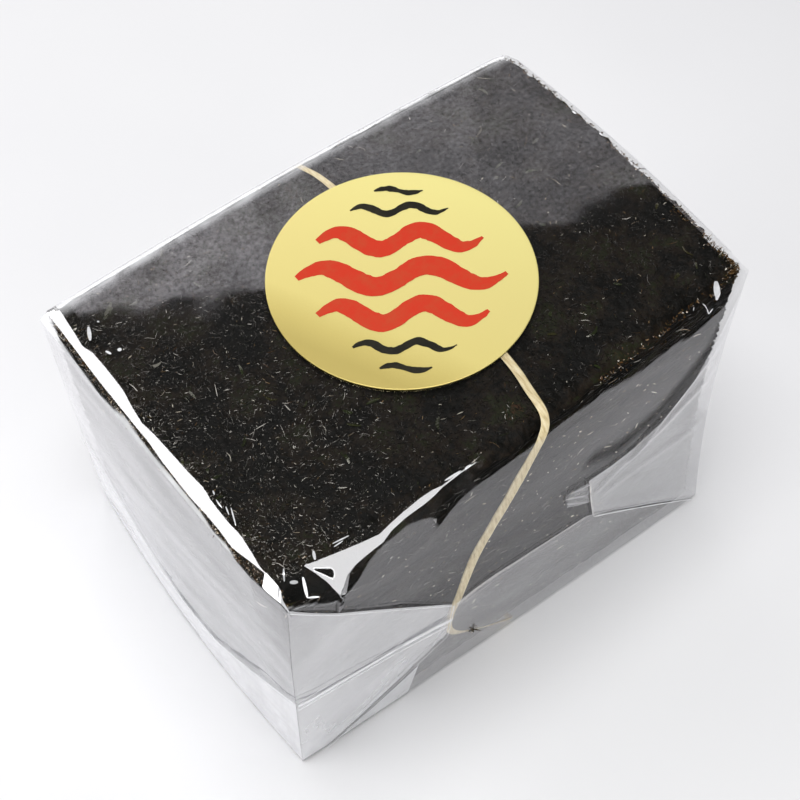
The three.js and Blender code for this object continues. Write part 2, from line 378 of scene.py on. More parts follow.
def blade_material(name):
    """Loose bits of blade and fibre; the shade value goes from black-green over brown to pale straw."""
    material, tree, place = new_material(name)
    colour = add_ramp(tree, point_value(tree, "shade"), [
        (0.0, (0.002, 0.0022, 0.0014)), (0.55, (0.006, 0.005, 0.0035)), (0.68, (0.020, 0.027, 0.008)),
        (0.80, (0.070, 0.032, 0.011)), (0.92, (0.26, 0.17, 0.08)), (1.0, (0.90, 0.85, 0.72)),
    ])
    grain = add_noise(tree, place, 900.0, detail=3.0)
    gloss = add_math(tree, "MULTIPLY_ADD", grain, 0.12, 0.03)
    show_principled(tree, **{"Base Color": colour, "Roughness": gloss, "Specular IOR Level": 1.0,
                               "Specular Tint": (1.0, 0.95, 0.87, 1.0),
                               "Normal": add_bump(tree, grain, 0.25, 0.0003)})
    return material


def twine_material():
    """Dull straw fibre with darker lengthwise streaks."""
    material, tree, place = new_material("straw_twine")
    streaks = add_noise(tree, place, 260.0, detail=4.0, stretch=(3.0, 0.5, 0.5))
    colour = add_ramp(tree, streaks, [
        (0.25, (0.42, 0.31, 0.14)), (0.45, (0.70, 0.58, 0.33)), (0.65, (0.84, 0.74, 0.50)),
        (0.85, (0.92, 0.86, 0.68)),
    ])
    show_principled(tree, **{"Base Color": colour, "Roughness": 0.62, "Specular IOR Level": 0.3,
                               "Normal": add_bump(tree, streaks, 0.5, 0.0006)})
    return material


def foil_material():
    """Satin gold foil paper, finely brushed, with painted shading that darkens it towards its near left side.
    """
    material, tree, place = new_material("gold_foil")
    brushed = add_noise(tree, place, 900.0, detail=4.0, roughness=0.6, stretch=(1.0, 4.0, 1.0))
    cloud = add_noise(tree, place, 14.0, detail=2.0)
    parts = add_node(tree, "ShaderNodeSeparateXYZ", Vector=place)
    # Painted shading: a straight slope of tone that darkens the foil towards the near left.
    slope = add_math(tree, "MULTIPLY_ADD", parts.outputs["X"], 7.7, 0.42)
    slope = add_math(tree, "MULTIPLY_ADD", parts.outputs["Y"], 3.85, slope)
    tone = add_math(tree, "MULTIPLY_ADD", brushed, 0.08, add_math(tree, "SUBTRACT", slope, 0.09))
    tone = add_math(tree, "MULTIPLY_ADD", cloud, 0.10, tone)
    colour = add_ramp(tree, tone, [
        (0.0, (0.50, 0.40, 0.115)), (0.1, (0.61, 0.50, 0.155)), (0.22, (0.74, 0.63, 0.22)),
        (0.5, (0.79, 0.68, 0.25)), (1.0, (0.89, 0.80, 0.30)),
    ])
    gloss = add_math(tree, "MULTIPLY_ADD", brushed, 0.1, 0.34)
    show_principled(tree, **{"Base Color": colour, "Metallic": 0.45, "Roughness": gloss,
                               "Normal": add_bump(tree, brushed, 0.03, 0.0002)})
    return material


def ink_material(name, thin, full):
    """Brushed ink that covers unevenly."""
    material, tree, place = new_material(name)
    cover = add_noise(tree, place, 120.0, detail=5.0, roughness=0.7)
    colour = add_ramp(tree, cover, [(0.3, thin), (0.55, full)])
    gloss = add_math(tree, "MULTIPLY_ADD", cover, 0.3, 0.4)
    show_principled(tree, **{"Base Color": colour, "Roughness": gloss, "Specular IOR Level": 0.15})
    return material


def floor_material():
    material, tree, place = new_material("pale_floor")
    tone = add_noise(tree, place, 2.0, detail=3.0)
    colour = add_ramp(tree, tone, [(0.3, (0.80, 0.80, 0.815)), (0.7, (0.84, 0.84, 0.85))])
    show_principled(tree, **{"Base Color": colour, "Roughness": 0.9, "Specular IOR Level": 0.1})
    return material


# Forms: walls between the base and top corners, swelling out between them.
def blunted(place, height):
    """Places in the plane, drawn in near the blunt corners."""
    for corner, pull, reach in BLUNT_CORNERS:
        away = np.linalg.norm(place - np.array(corner), axis=-1)
        near = np.clip(1 - away / reach, 0, None) * ramp(height, PACK_HEIGHT - BLUNT_DEPTH, PACK_HEIGHT)
        place = place + np.array(pull) * near[..., None]
    return place


def wall_ends(wall, height, corners):
    """Both ends of a wall at given heights."""
    share = (height / PACK_HEIGHT)[..., None]
    waist = np.sin(np.pi * np.clip(share, 0, 1))
    both = (wall, (wall + 1) % 4)
    return [lerp(corners[0][corner], corners[1][corner], share) + WAISTS[corner] * waist for corner in both]


def wall_points(wall, along, height, proud=0.0, form=FILM_FORM):
    """Points on a wall at shares along it and heights, standing proud of it by some millimetres."""
    along, height = np.broadcast_arrays(np.asarray(along, float), np.asarray(height, float))
    corners, bulges = form
    start, end = wall_ends(wall, height, corners)
    run = end - start
    run = run / np.linalg.norm(run, axis=-1, keepdims=True)
    outward = np.stack([run[..., 1], -run[..., 0]], axis=-1)
    bulge = lerp(bulges[0][wall], bulges[1][wall], np.clip(height / PACK_HEIGHT, 0, 1))
    out = bulge * np.sin(np.pi * along) + proud
    place = lerp(start, end, along[..., None]) + outward * np.asarray(out)[..., None]
    return np.concatenate([blunted(place, height), height[..., None]], axis=-1)


def patch(across, deep, height=PACK_HEIGHT, form=FILM_FORM):
    """Places between the four walls at a height, at shares across and deep."""
    shares = (across, deep, 1 - across, 1 - deep)
    edges = [wall_points(wall, share, height, form=form)[:, :2] for wall, share in enumerate(shares)]
    front, right, back, left = edges
    corners = [wall_points(wall, 0.0, height, form=form)[:2] for wall in range(4)]
    sides = lerp(front, back, deep[:, None]) + lerp(left, right, across[:, None])
    return sides - between(corners, across, deep)


def stepped_drop(inset, starts, drops):
    """How far the film has dropped at an inset from the edge: one straight facet between each two starts."""
    total = 0.0
    ends = [*starts[1:], 0.0]
    for start, end, drop in zip(starts, ends, drops):
        total = total + drop * ramp(-inset, -start, -end)
    return total


# The film's top edges at the right and back: insets where their facets start, and their drops.
RIGHT_FACETS = ((6.0, 2.5, 0.5), (1.2, 2.0, 1.8))
BACK_FACETS = ((6.0, 2.5, 0.5), (1.2, 2.2, 2.2))
# The left edge is one sloped facet: the inset where it starts at stations of y, and its slope.
LEFT_START = [(-104, 4.0), (-97, 5.2), (-92, 6.6), (-86, 7.6), (-78, 8.6), (98, 8.6)]
LEFT_SLOPE = 0.87
# Its bright gleam lies between two insets at stations of y; there the film's mirroring is raised, which
# paints the highlight's shape and strength.
LEFT_GLEAM = [
    (98, 8.5, 3.8), (86, 8.5, 3.8), (82, 8.0, 3.8), (74, 7.5, 3.7), (65, 6.6, 3.6), (59, 8.2, 3.4),
    (47, 8.5, 3.2), (32, 8.3, 3.2), (23, 6.8, 3.2), (13, 5.9, 3.2), (5, 6.7, 3.3), (-8, 7.2, 2.5),
    (-21, 7.5, 2.2), (-33, 8.2, 2.1), (-40, 7.2, 2.5), (-53, 6.9, 2.5), (-62, 7.3, 1.9), (-69, 6.6, 2.9),
    (-73, 6.2, 3.6), (-78, 5.4, 4.3), (-81.5, 4.9, 4.6), (-82.8, 4.9, 4.7), (-83.8, 5.0, 3.6),
    (-84.7, 5.0, 2.4), (-86.2, 4.8, 0.4), (-88, 4.7, 0.1), (-91.9, 4.2, 0.1), (-93.7, 3.6, 0.1),
    (-96.7, 1.8, 0.15), (-99, 1.3, 0.3), (-104, 0.3, 0.25),
]
# The milky film of the left wall reaches over the edge up to these insets at stations of y.
# Where they are negative, it stays below the edge.
LEFT_MILK = [
    (-104, -0.4), (-86.5, -0.7), (-82, 0.0), (-67, -0.1), (-60, 1.2), (-50, 0.5), (-40, 1.6), (-23, 1.7),
    (5, 1.5), (22.6, 2.3), (30, 0.8), (41, 0.1), (53, 0.4), (72.6, 0.9), (85, 1.9), (98, 2.5),
]
# The front edge is pulled down near the left corner; its gleam, painted in the same way by raised mirroring,
# lies between two insets at stations of x.
# Its facet starts at an inset that changes by a turn from a given x on, and has a slope.
FRONT_START, FRONT_TURN, FRONT_FROM, FRONT_SLOPE = 12.6, -0.0468, -118.6, 1.235
FRONT_GLEAM = [
    (-140, 12.6, 12.5), (-118.6, 12.6, 12.5), (-116.5, 12.3, 9.4), (-114, 11.9, 4.9), (-113, 11.8, 1.2),
    (-112, 11.7, -1.8), (-110, 11.4, -0.8), (-107, 11.0, 0.8), (-103.5, 10.5, 3.2), (-99, 9.8, 4.3),
    (-92, 8.9, 4.8), (-83, 7.8, 5.1), (-77, 8.5, 6.6), (-68.5, 9.2, 7.3), (-59, 9.6, 7.3), (-53, 9.4, 7.6),
    (-48, 8.8, 8.3), (-37, 8.8, 8.5), (-31, 8.5, 8.2), (-27, 8.4, 8.3), (144, 8.4, 8.3),
]
# The height of the front wall's rim at stations of x.
FRONT_RIM = [
    (-140, 183), (-118, 172), (-112, 169.4), (-107, 168), (-100, 166), (-95, 163), (-90, 161), (-84, 160),
    (-78, 160), (-70, 162), (-62, 166), (-56, 172), (-50, 178.5), (-44, 183), (-36, 185), (144, 185),
]
# A small hole painted into the wide end of the front gleam, where it mirrors almost nothing, with a painted
# bright ring round it: from one (x, inset) to another, and its half width at both.
GLEAM_HOLE = ((-114.9, 9.9), (-109.6, 6.6), 0.3, 1.45)
# Above this wavy line (x, height) of the front wall the film clings to the sheets, and its mirroring is cut
# almost to nothing, which paints it dark.
CLING_LINE = [
    (-140, 186), (-125, 176), (-116, 168), (-110.5, 164.5), (-104.7, 168), (-99.5, 173), (-94, 182),
    (-90.2, 186), (-85.8, 188), (-72.3, 189), (-65.7, 186.5), (-61.2, 184), (-58.5, 180), (-53, 180),
    (-47.5, 184.5), (6, 184), (20, 184.5), (43, 182), (67, 175), (95, 171.5), (103, 167), (121, 167.5),
    (133, 168), (138, 183), (150, 187),
]
# How far one millimetre inwards counts as height beside that line, and as a shift in x along it.
INWARD_RISE, INWARD_SHIFT = 1.9, 0.74
# The clinging film, with its mirroring cut to paint it dark, reaches this far in past the facets of the front
# and left edges.
CLING_MARGIN = 4.5
# Mirroring layers of the film: level; clinging, almost none, which paints it dark; pulled down; raised in the
# gleams, which paints their highlights; and raised further in a ring round the painted hole of the front
# gleam.
TOP_LAYERS, CLING_PAINTED_DARK_LAYERS, PULLED_LAYERS, GLEAM_LAYERS, RING_LAYERS = 2.25, 0.04, 4.2, 9.0, 18.0
# Layers on the short walls below and above their rim, on the long walls and under the pack.
GUSSET_LAYERS, SHORT_LAYERS, LONG_LAYERS, BASE_LAYERS = 2.6, 2.0, 1.5, 4.0
# Haze of the long walls, of the base, and the white haze that paints highlights on the left gleam's near end
# and on the film's wrinkles.
LONG_HAZE, BASE_HAZE, HIGHLIGHT_HAZE = 0.012, 0.1, 0.9
# The level film lies this far below the full height, on average.
TOP_SAG = 0.15
# The width of the steep outermost strip of the back edge, and the y below which the left gleam is painted
# white with haze.
BACK_RIM, WHITE_GLEAM_END = 2.8, -82
# Insets on which the grid of the top film puts the gleams' edges.
FRONT_KNOTS = (0.0, 4.0, 9.0, 20.0)
LEFT_KNOTS = (0.0, 4.0, 8.0, 14.0)
# Up to this inset the grid's lines follow the edges.
FOLLOW_REACH = 50.0


def front_drop(inset, x):
    """How far the film has dropped at an inset from the front edge."""
    lower = stations(FRONT_GLEAM, x)[1]
    start = FRONT_START + FRONT_TURN * (x - FRONT_FROM)
    facet = FRONT_SLOPE * np.clip(start - inset, 0, None)
    facet_end = FRONT_SLOPE * np.clip(start - lower, 0, None)
    rim = PACK_HEIGHT - stations(FRONT_RIM, x)[0]
    below = lerp(rim, facet_end, np.clip(inset / np.maximum(lower, 0.1), 0, 1))
    return np.where(inset < lower, below, facet)


def top_insets(place):
    """Distances of places from the four upper edges of the film."""
    insets = {}
    for wall, axis, inward in ((FRONT, 0, 1), (RIGHT, 1, -1), (BACK, 0, -1), (LEFT, 1, 1)):
        start, end = TOP_CORNERS[wall], TOP_CORNERS[(wall + 1) % 4]
        along = np.clip((place[:, axis] - start[axis]) / (end[axis] - start[axis]), 0, 1)
        edge = wall_points(wall, along, PACK_HEIGHT)[:, 1 - axis]
        insets[wall] = (place[:, 1 - axis] - edge) * inward
    return insets


def film_top_height(place):
    """Height of the film's top at places in the plane."""
    inset = top_insets(place)
    drop = front_drop(inset[FRONT], place[:, 0])
    left_start = stations(LEFT_START, place[:, 1])[0]
    drop = np.maximum(drop, LEFT_SLOPE * np.clip(left_start - inset[LEFT], 0, None))
    for wall, facets in ((RIGHT, RIGHT_FACETS), (BACK, BACK_FACETS)):
        drop = np.maximum(drop, stepped_drop(inset[wall], *facets))
    flat = 1 - ramp(drop, 0.0, 0.8)
    wave = 0.20 * lump_noise(place, 46.0, 3) + 0.06 * lump_noise(place, 17.0, 4)
    return PACK_HEIGHT - TOP_SAG + wave * flat - drop


def under_film(points, gap):
    """The points, lowered where they would reach through the film's top."""
    points = points.copy()
    points[:, 2] = np.minimum(points[:, 2], film_top_height(points[:, :2]) - gap)
    return points


def moved_insets(inset, knots, lines):
    """Insets moved so that each knot falls on its line."""
    moved = inset.copy()
    for index in range(len(knots) - 1):
        share = (inset - knots[index]) / (knots[index + 1] - knots[index])
        here = (share >= 0) & (share <= 1)
        moved = np.where(here, lerp(lines[index], lines[index + 1], share), moved)
    return moved


def cling_height(x, height, inset):
    """How far the film of the front edge lies above the cling line, in millimetres of height."""
    spot = x - INWARD_SHIFT * inset
    line = stations(CLING_LINE, spot)[0] + 0.9 * lump_noise(spot[:, None], 5.0, 6)
    return height + INWARD_RISE * inset - line


def cling_rim(x, above):
    """A pale rim along the cling line beside the near left corner."""
    return np.clip(1 - np.abs(above) / 1.3, 0, 1) * ramp(-x, 98, 112)


def film_top_grid(across, deep):
    """Points of the film's top: across shares run left to right, deep shares front to back."""
    u, v = grid_shares(across, deep)
    x = patch(u, v)[:, 0]
    front_upper, front_lower = stations(FRONT_GLEAM, x)
    gleams = front_upper - front_lower > 0.15
    free = ramp(-x, 119, 126)
    front_lower = lerp(front_lower, FRONT_KNOTS[1], free)
    front_upper = lerp(front_upper, FRONT_KNOTS[2], free)
    rim = np.minimum(0.0, front_lower - 0.05)
    front_lines = (rim, front_lower, front_upper, np.full(len(u), FRONT_KNOTS[3]))
    front_inset = moved_insets(v * DEPTH, FRONT_KNOTS, front_lines)
    left_upper, left_lower = stations(LEFT_GLEAM, patch(u, front_inset / DEPTH)[:, 1])
    left_lines = (np.zeros(len(u)), left_lower, left_upper, np.full(len(u), LEFT_KNOTS[3]))
    left_inset = moved_insets(u * WIDTH, LEFT_KNOTS, left_lines)
    drawn = top_insets(patch(left_inset / WIDTH, front_inset / DEPTH))
    front_inset += (front_inset - drawn[FRONT]) * (1 - ramp(front_inset, FRONT_KNOTS[3], FOLLOW_REACH))
    left_inset += (left_inset - drawn[LEFT]) * (1 - ramp(left_inset, LEFT_KNOTS[3], FOLLOW_REACH))
    place = patch(left_inset / WIDTH, front_inset / DEPTH)
    on_front = (v * DEPTH > FRONT_KNOTS[1]) & (v * DEPTH < FRONT_KNOTS[2]) & gleams
    on_left = (u * WIDTH > LEFT_KNOTS[1]) & (u * WIDTH < LEFT_KNOTS[2])
    return np.column_stack([place, film_top_height(place)]), on_front, on_left


def gleam_hole_gap(spots):
    """Distance of spots (x, inset) from the rim of the painted hole in the front gleam, negative inside it.
    """
    start, end, start_width, end_width = GLEAM_HOLE
    share, away = line_gap(spots, start, end)
    return away - lerp(start_width, end_width, share)


def back_haze(place, inset, cloud, rim):
    """The milky film along the back edge: wide beside the far left corner, a soft strip along the rest."""
    x = place[:, 0]
    corner = ramp(12 - inset, 0, 9) * ramp(-x, 85, 128) * (0.75 + 0.4 * cloud)
    soft = (0.85 + 0.4 * lump_noise(place, 5.0, 43) * (1 - rim)) * (1 - 0.5 * rim)
    strip = ramp(10.5 - inset, 0, 7) * lerp(0.72, 0.45, ramp(x, -40, 100)) * soft
    return np.maximum(corner, strip)


def film_top_values(points, on_front, on_left):
    """The layers and haze of the film's top: clear, painted dark where it clings at its edges, with the
    bright gleams painted by raised layers and white haze.
    """
    x, y, height = points.T
    place = points[:, :2]
    inset = top_insets(place)
    above = cling_height(x, height, inset[FRONT])
    front_start = FRONT_START + FRONT_TURN * np.clip(x - FRONT_FROM, 0, 90)
    left_start, left_milk = stations(LEFT_START, y)[0], stations(LEFT_MILK, y)[0]
    steep = ramp(PACK_HEIGHT - stations(FRONT_RIM, x)[0], 12, 18)
    pulled = lerp(CLING_PAINTED_DARK_LAYERS, PULLED_LAYERS, steep * ramp(-above, -0.3, 0.3))
    cloud = 0.5 * lump_noise(place, 21.0, 41) + 0.5 * lump_noise(place, 8.0, 42)
    # Painted dark reflection: next to the front edge's facet the mirroring is cut almost to nothing, save on
    # the steep pulled band.
    layers = np.where(inset[FRONT] < front_start + CLING_MARGIN, pulled, TOP_LAYERS + cloud)
    # Painted dark reflection: the left facet mirrors almost nothing outside its gleam.
    at_left = (inset[LEFT] < left_start + CLING_MARGIN) & (inset[FRONT] > 0.5)
    layers = np.where(at_left, CLING_PAINTED_DARK_LAYERS, layers)
    milk = ramp(left_milk - inset[LEFT], -0.2, 0.3)
    rim = ramp(BACK_RIM - inset[BACK], 0, 0.4)
    layers = lerp(lerp(layers, 0.6, milk), 0.3, rim)
    pale = [0.55 * milk, back_haze(place, inset[BACK], cloud, rim), 0.35 * cling_rim(x, above)]
    haze = np.max(pale, axis=0) + 0.0005
    gap = gleam_hole_gap(np.column_stack([x, inset[FRONT]]))
    # Painted highlights: the gleams mirror as nine layers of film, and the near end of the left gleam is
    # painted white.
    layers = np.where(on_left | on_front, GLEAM_LAYERS, layers)
    # Painted reflection: a bright ring round the hole, and the hole itself with almost no mirroring.
    layers = np.where(on_front & (gap < 0.4), RING_LAYERS, layers)
    layers = np.where(on_front & (gap < 0), CLING_PAINTED_DARK_LAYERS, layers)
    white = np.where(on_left & (y < WHITE_GLEAM_END), HIGHLIGHT_HAZE, 0.0)
    return layers, np.where(on_left | on_front, white, haze)


def crease_height(y):
    """Height of the gusset crease of a short wall at places along it."""
    back, front = TOP_CORNERS[3, 1], TOP_CORNERS[0, 1]
    return stations(CREASE_LINE, (y - back) / (front - back))[0] * PACK_HEIGHT


def wall_wrinkles(wall, points):
    """How far a wall's film stands out of its smooth form: soft billows, streaks and the gusset crease."""
    flat = points[:, [wall % 2, 2]]
    billow = 0.7 * lump_noise(flat, (55.0, 38.0), 11 + wall)
    if wall in (FRONT, BACK):
        streak = 0.12 * lump_noise(turned(flat, 24), (60.0, 8.0), 21 + wall)
        return billow + streak
    lean = 16 if wall == LEFT else -16
    streak = 0.45 * lump_noise(turned(flat, lean), (75.0, 14.0), 21 + wall)
    fine = 0.12 * lump_noise(turned(flat, lean), (30.0, 4.5), 31 + wall)
    away = np.abs(points[:, 2] - crease_height(points[:, 1])) / CREASE_HALF_WIDTH
    return billow + streak + fine + CREASE_HEIGHT * np.clip(1 - away, 0, None) ** 0.8


def film_wall_grid(wall, shares, rows, rim):
    """Points of one wall of film, from the rim of the top down to the base."""
    along, down = grid_shares(shares, rows)
    height = lerp(np.tile(rim[:, 2], len(rows)), BASE_LIFT, down)
    smooth = wall_points(wall, along, height)
    held = ramp(down, 0.0, 0.06) * (1 - ramp(down, 0.97, 1.0)) * np.clip(np.sin(np.pi * along) * 6, 0, 1)
    points = wall_points(wall, along, height, wall_wrinkles(wall, smooth) * held)
    off_rim = np.tile(rim - points[: len(rim)], (len(rows), 1))
    return points + off_rim * ((1 - ramp(down, 0.0, 0.35)) ** 2)[:, None]


# A painted dark reflection along a fold of the front wall above its right flap, through places (x, height),
# and its half width.
FOLD_DARK_REFLECTION = [(43.6, 122.6), (61.9, 112.9), (89.6, 116.7), (109.7, 127.7), (125.8, 141.7), (136.8, 163.0)]
FOLD_DARK_REFLECTION_WIDTH = 8.0
# The milky gusset starts this far below the rim.
GUSSET_TOP = 0.3


def front_values(points):
    """The layers and haze of the front wall's film: clinging and painted dark at the top, with one painted
    dark reflection along a fold.
    """
    above = cling_height(points[:, 0], points[:, 2], np.zeros(len(points)))
    cling = ramp(above, -0.4, 0.4)
    # Painted dark reflection: the mirroring is cut along the fold's line.
    ends = zip(FOLD_DARK_REFLECTION[:-1], FOLD_DARK_REFLECTION[1:])
    folds = [line_nearness(points[:, [0, 2]], start, end, FOLD_DARK_REFLECTION_WIDTH) for start, end in ends]
    dark = np.maximum(cling, 0.8 * np.max(folds, axis=0) ** 0.7)
    haze = LONG_HAZE * (1 - cling) + 0.3 * cling_rim(points[:, 0], above)
    return lerp(LONG_LAYERS, CLING_PAINTED_DARK_LAYERS, dark), haze


def gusset_values(points, rim_height):
    """The layers and haze of a short wall's film, which is whitest below its crease."""
    _, y, height = points.T
    start = GUSSET_TOP + 1.5 * np.clip(-stations(LEFT_MILK, y)[0], 0, None)
    gusset = ramp(rim_height - height, start, start + 0.7)
    low = 1 - height / PACK_HEIGHT
    upper = 0.13 + 0.36 * low + 0.10 * ramp(y, -90, 95) * low
    lower = lerp(0.90, 0.98, ramp(y, -95, -10))
    haze = lerp(upper, lower, ramp(crease_height(y) - height, -1.0, 4.0))
    return SHORT_LAYERS + (GUSSET_LAYERS - SHORT_LAYERS) * gusset, 0.01 + haze * gusset


def wall_values(wall, points, rim_height):
    if wall == FRONT:
        return front_values(points)
    if wall == BACK:
        return np.full(len(points), LONG_LAYERS), np.full(len(points), LONG_HAZE)
    return gusset_values(points, rim_height)


def with_knots(shares, length, knots):
    """Shares along a length, with two close ones at each knot."""
    pairs = [knot + side for knot in knots for side in (-0.05, 0.05)]
    return np.union1d(shares, np.array(pairs) / length)


# Grids of the film as spans (first, last, count): columns and rows at the gleams, and rows of each wall.
GRID_STEP = 3.4
FINE_COLUMNS = [(18.0, 100.0, 120), (20.5, 29.5, 32)]
FINE_ROWS = [(4.2, 8.8, 40), (0.0, 4.0, 24), (9.5, 26.0, 19)]
WALL_ROWS = [[(0, 1, 60), (0, 0.12, 22)], [(0, 1, 48)], [(0, 1, 24)], [(0, 1, 60), (0, 0.04, 9)]]
BASE_STEPS = 30


def make_film_wrap(material):
    """The film all round the pack: its top, walls and base in one piece."""
    across = finer(edge_spacing(WIDTH, GRID_STEP), FINE_COLUMNS, WIDTH)
    across = with_knots(across, WIDTH, LEFT_KNOTS[1:3])
    deep = finer(edge_spacing(DEPTH, GRID_STEP), FINE_ROWS, DEPTH)
    deep = with_knots(deep, DEPTH, FRONT_KNOTS[1:3])
    top, on_front, on_left = film_top_grid(across, deep)
    parts = [(top, grid_faces(len(deep), len(across)))]
    values = [film_top_values(top, on_front, on_left)]
    grid = top.reshape(len(deep), len(across), 3)
    rims = (grid[0], grid[:, -1], grid[-1, ::-1], grid[::-1, 0])
    spans = (across, deep, 1 - across[::-1], 1 - deep[::-1])
    for wall, rim in enumerate(rims):
        rows = finer((), WALL_ROWS[wall])
        points = film_wall_grid(wall, spans[wall], rows, rim)
        parts.append((points, grid_faces(len(rows), len(rim))[:, ::-1]))
        values.append(wall_values(wall, points, np.tile(rim[:, 2], len(rows))))
    shares = np.linspace(0, 1, BASE_STEPS)
    u, v = grid_shares(shares, shares)
    base = lerp(wall_points(FRONT, u, BASE_LIFT), wall_points(BACK, 1 - u, BASE_LIFT), v[:, None])
    parts.append((base, grid_faces(BASE_STEPS, BASE_STEPS)[:, ::-1]))
    values.append((np.full(len(base), BASE_LAYERS), np.full(len(base), BASE_HAZE)))
    layers, haze = (np.concatenate(column) for column in zip(*values))
    add_piece("film_wrap", *joined(parts), material, "film", "film_pack", layers=layers, haze=haze)


# Flaps of the long ends: stations (share along the wall, share of the height) of their lower and upper edges.
LEFT_FLAP = ([(0.0, 0.01), (0.055, 0.01), (0.334, 0.238)], [(0.0, 0.972), (0.087, 0.829), (0.343, 0.408)])
RIGHT_FLAP = (
    [(0.692, 0.338), (0.75, 0.275), (0.81, 0.205), (0.87, 0.14), (0.94, 0.06), (0.984, 0.01), (1.0, 0.01)],
    [(0.661, 0.557), (0.72, 0.545), (0.779, 0.544), (0.85, 0.575), (0.92, 0.65), (0.965, 0.765), (1.0, 0.92)],
)
BOTTOM_FLAP = ([(0.06, 0.01), (0.45, 0.01), (0.97, 0.01)], [(0.36, 0.405), (0.448, 0.408), (0.675, 0.359)])
# A whitened corner of folded film below the left flap, and the crumpled tip beside the right one.
CORNER_FLAP = ([(0.08, 0.01), (0.16, 0.01), (0.244, 0.01)], [(0.085, 0.014), (0.18, 0.085), (0.268, 0.155)])
TIP_FLAP = ([(0.612, 0.50), (0.64, 0.465), (0.672, 0.435)], [(0.598, 0.575), (0.63, 0.572), (0.662, 0.55)])
# Ridges of the flaps: from one place to another on the wall, half width and height in millimetres.
LEFT_RIDGES = [((0.0, 0.425), (0.22, 0.375), 3.4, 0.45), ((0.22, 0.375), (0.34, 0.32), 3.4, 0.45)]
RIGHT_RIDGES = [((0.70, 0.47), (0.97, 0.60), 5.0, 0.7), ((0.72, 0.42), (0.98, 0.40), 5.0, 0.5),
                ((0.78, 0.50), (0.99, 0.74), 3.5, 0.6)]
TIP_RIDGES = [((0.60, 0.57), (0.66, 0.50), 2.0, 0.9), ((0.605, 0.54), (0.67, 0.45), 2.0, 0.8),
              ((0.62, 0.575), (0.665, 0.54), 1.8, 0.7)]
# Each flap's name, edges, ridges, how far it stands out, the lean of its streaks in degrees, its seed,
# its layers, and its haze at the base and from FLAP_HAZE_TOP of the height on.
FLAPS = [
    ("bottom_flap", BOTTOM_FLAP, (), 0.7, 20, 0, 2.5, 0.085, 0.085),
    ("left_flap", LEFT_FLAP, LEFT_RIDGES, 0.7, -26, 1, 7.0, 0.70, 0.27),
    ("right_flap", RIGHT_FLAP, RIGHT_RIDGES, 0.8, 36, 2, 4.8, 0.33, 0.14),
    ("tip", TIP_FLAP, TIP_RIDGES, 1.0, 36, 2, 2.0, 0.10, 0.10),
    ("corner", CORNER_FLAP, (), 0.9, 36, 2, 2.0, 0.54, 0.46),
]
FLAP_HAZE_TOP = 0.6
FLAP_GRID = (64, 56)
FLAP_GAP = 0.3


def ruled(edges, across, up):
    """Places between a lower and an upper edge that are given by stations."""
    lower, upper = (np.array(edge, float) for edge in edges)
    spread = np.abs(np.diff(lower[:, 0])) + np.abs(np.diff(upper[:, 0]))
    knots = np.concatenate([[0], np.cumsum(spread)]) / spread.sum()
    pairs = zip(lower.T, upper.T)
    return np.column_stack([lerp(np.interp(across, knots, low), np.interp(across, knots, high), up)
                            for low, high in pairs])


def make_flap(wall, side, material, name, edges, ridges, proud, lean, seed, layers, low_haze, high_haze):
    """A folded flap of film on a wall, with streaks that lean one way and ridges along given lines."""
    seed += 3 * wall
    columns, rows = FLAP_GRID
    u, v = grid_shares(np.linspace(0, 1, columns), np.linspace(0, 1, rows))
    share = ruled(edges, u, v)
    scale = np.array((np.linalg.norm(TOP_CORNERS[(wall + 1) % 4] - TOP_CORNERS[wall]), PACK_HEIGHT))
    flat = share * scale
    leaning = turned(flat, lean)
    inner = np.clip(np.sin(np.pi * u) * 5, 0, 1) * np.clip(np.sin(np.pi * v) * 5, 0, 1)
    out = 0.45 * lump_noise(flat, (34.0, 26.0), 51 + seed) * inner
    out += 0.28 * lump_noise(leaning, (80.0, 13.0), 61 + seed) * inner
    out += 0.04 * lump_noise(leaning, (22.0, 4.0), 71 + seed) * inner
    for start, end, half_width, rise in ridges:
        out += rise * line_nearness(flat, np.array(start) * scale, np.array(end) * scale, half_width)
    snug = ramp(np.minimum(share[:, 0], 1 - share[:, 0]), 0.0, 0.05)
    lift = FLAP_GAP + (proud - FLAP_GAP + out) * snug
    points = wall_points(wall, share[:, 0], share[:, 1] * PACK_HEIGHT, lift)
    haze = lerp(low_haze, high_haze, ramp(share[:, 1], 0.0, FLAP_HAZE_TOP))
    haze = haze * (1 + 0.16 * lump_noise(leaning, (40.0, 9.0), 81 + seed))
    faces = grid_faces(rows, columns)
    add_piece(f"film_{name}_{side}", points, faces, material, "film", layers=layers, haze=haze)


OUTWARD = np.array([(0, -1, 0), (1, 0, 0), (0, 1, 0), (-1, 0, 0)], float)


def wall_ribbon(wall, stops, proud, width, steps=60):
    """A narrow ribbon on a wall through stops (share along, share of the height)."""
    stops = np.array(stops, float)
    knots = np.linspace(0, 1, len(stops))
    along, level = (np.interp(np.linspace(0, 1, steps), knots, axis) for axis in stops.T)
    path = wall_points(wall, along, level * PACK_HEIGHT, proud)
    half = unit(np.cross(np.gradient(path, axis=0), OUTWARD[wall])) * (width / 2)
    return np.stack([path - half, path + half], axis=1).reshape(-1, 3), grid_faces(steps, 2)


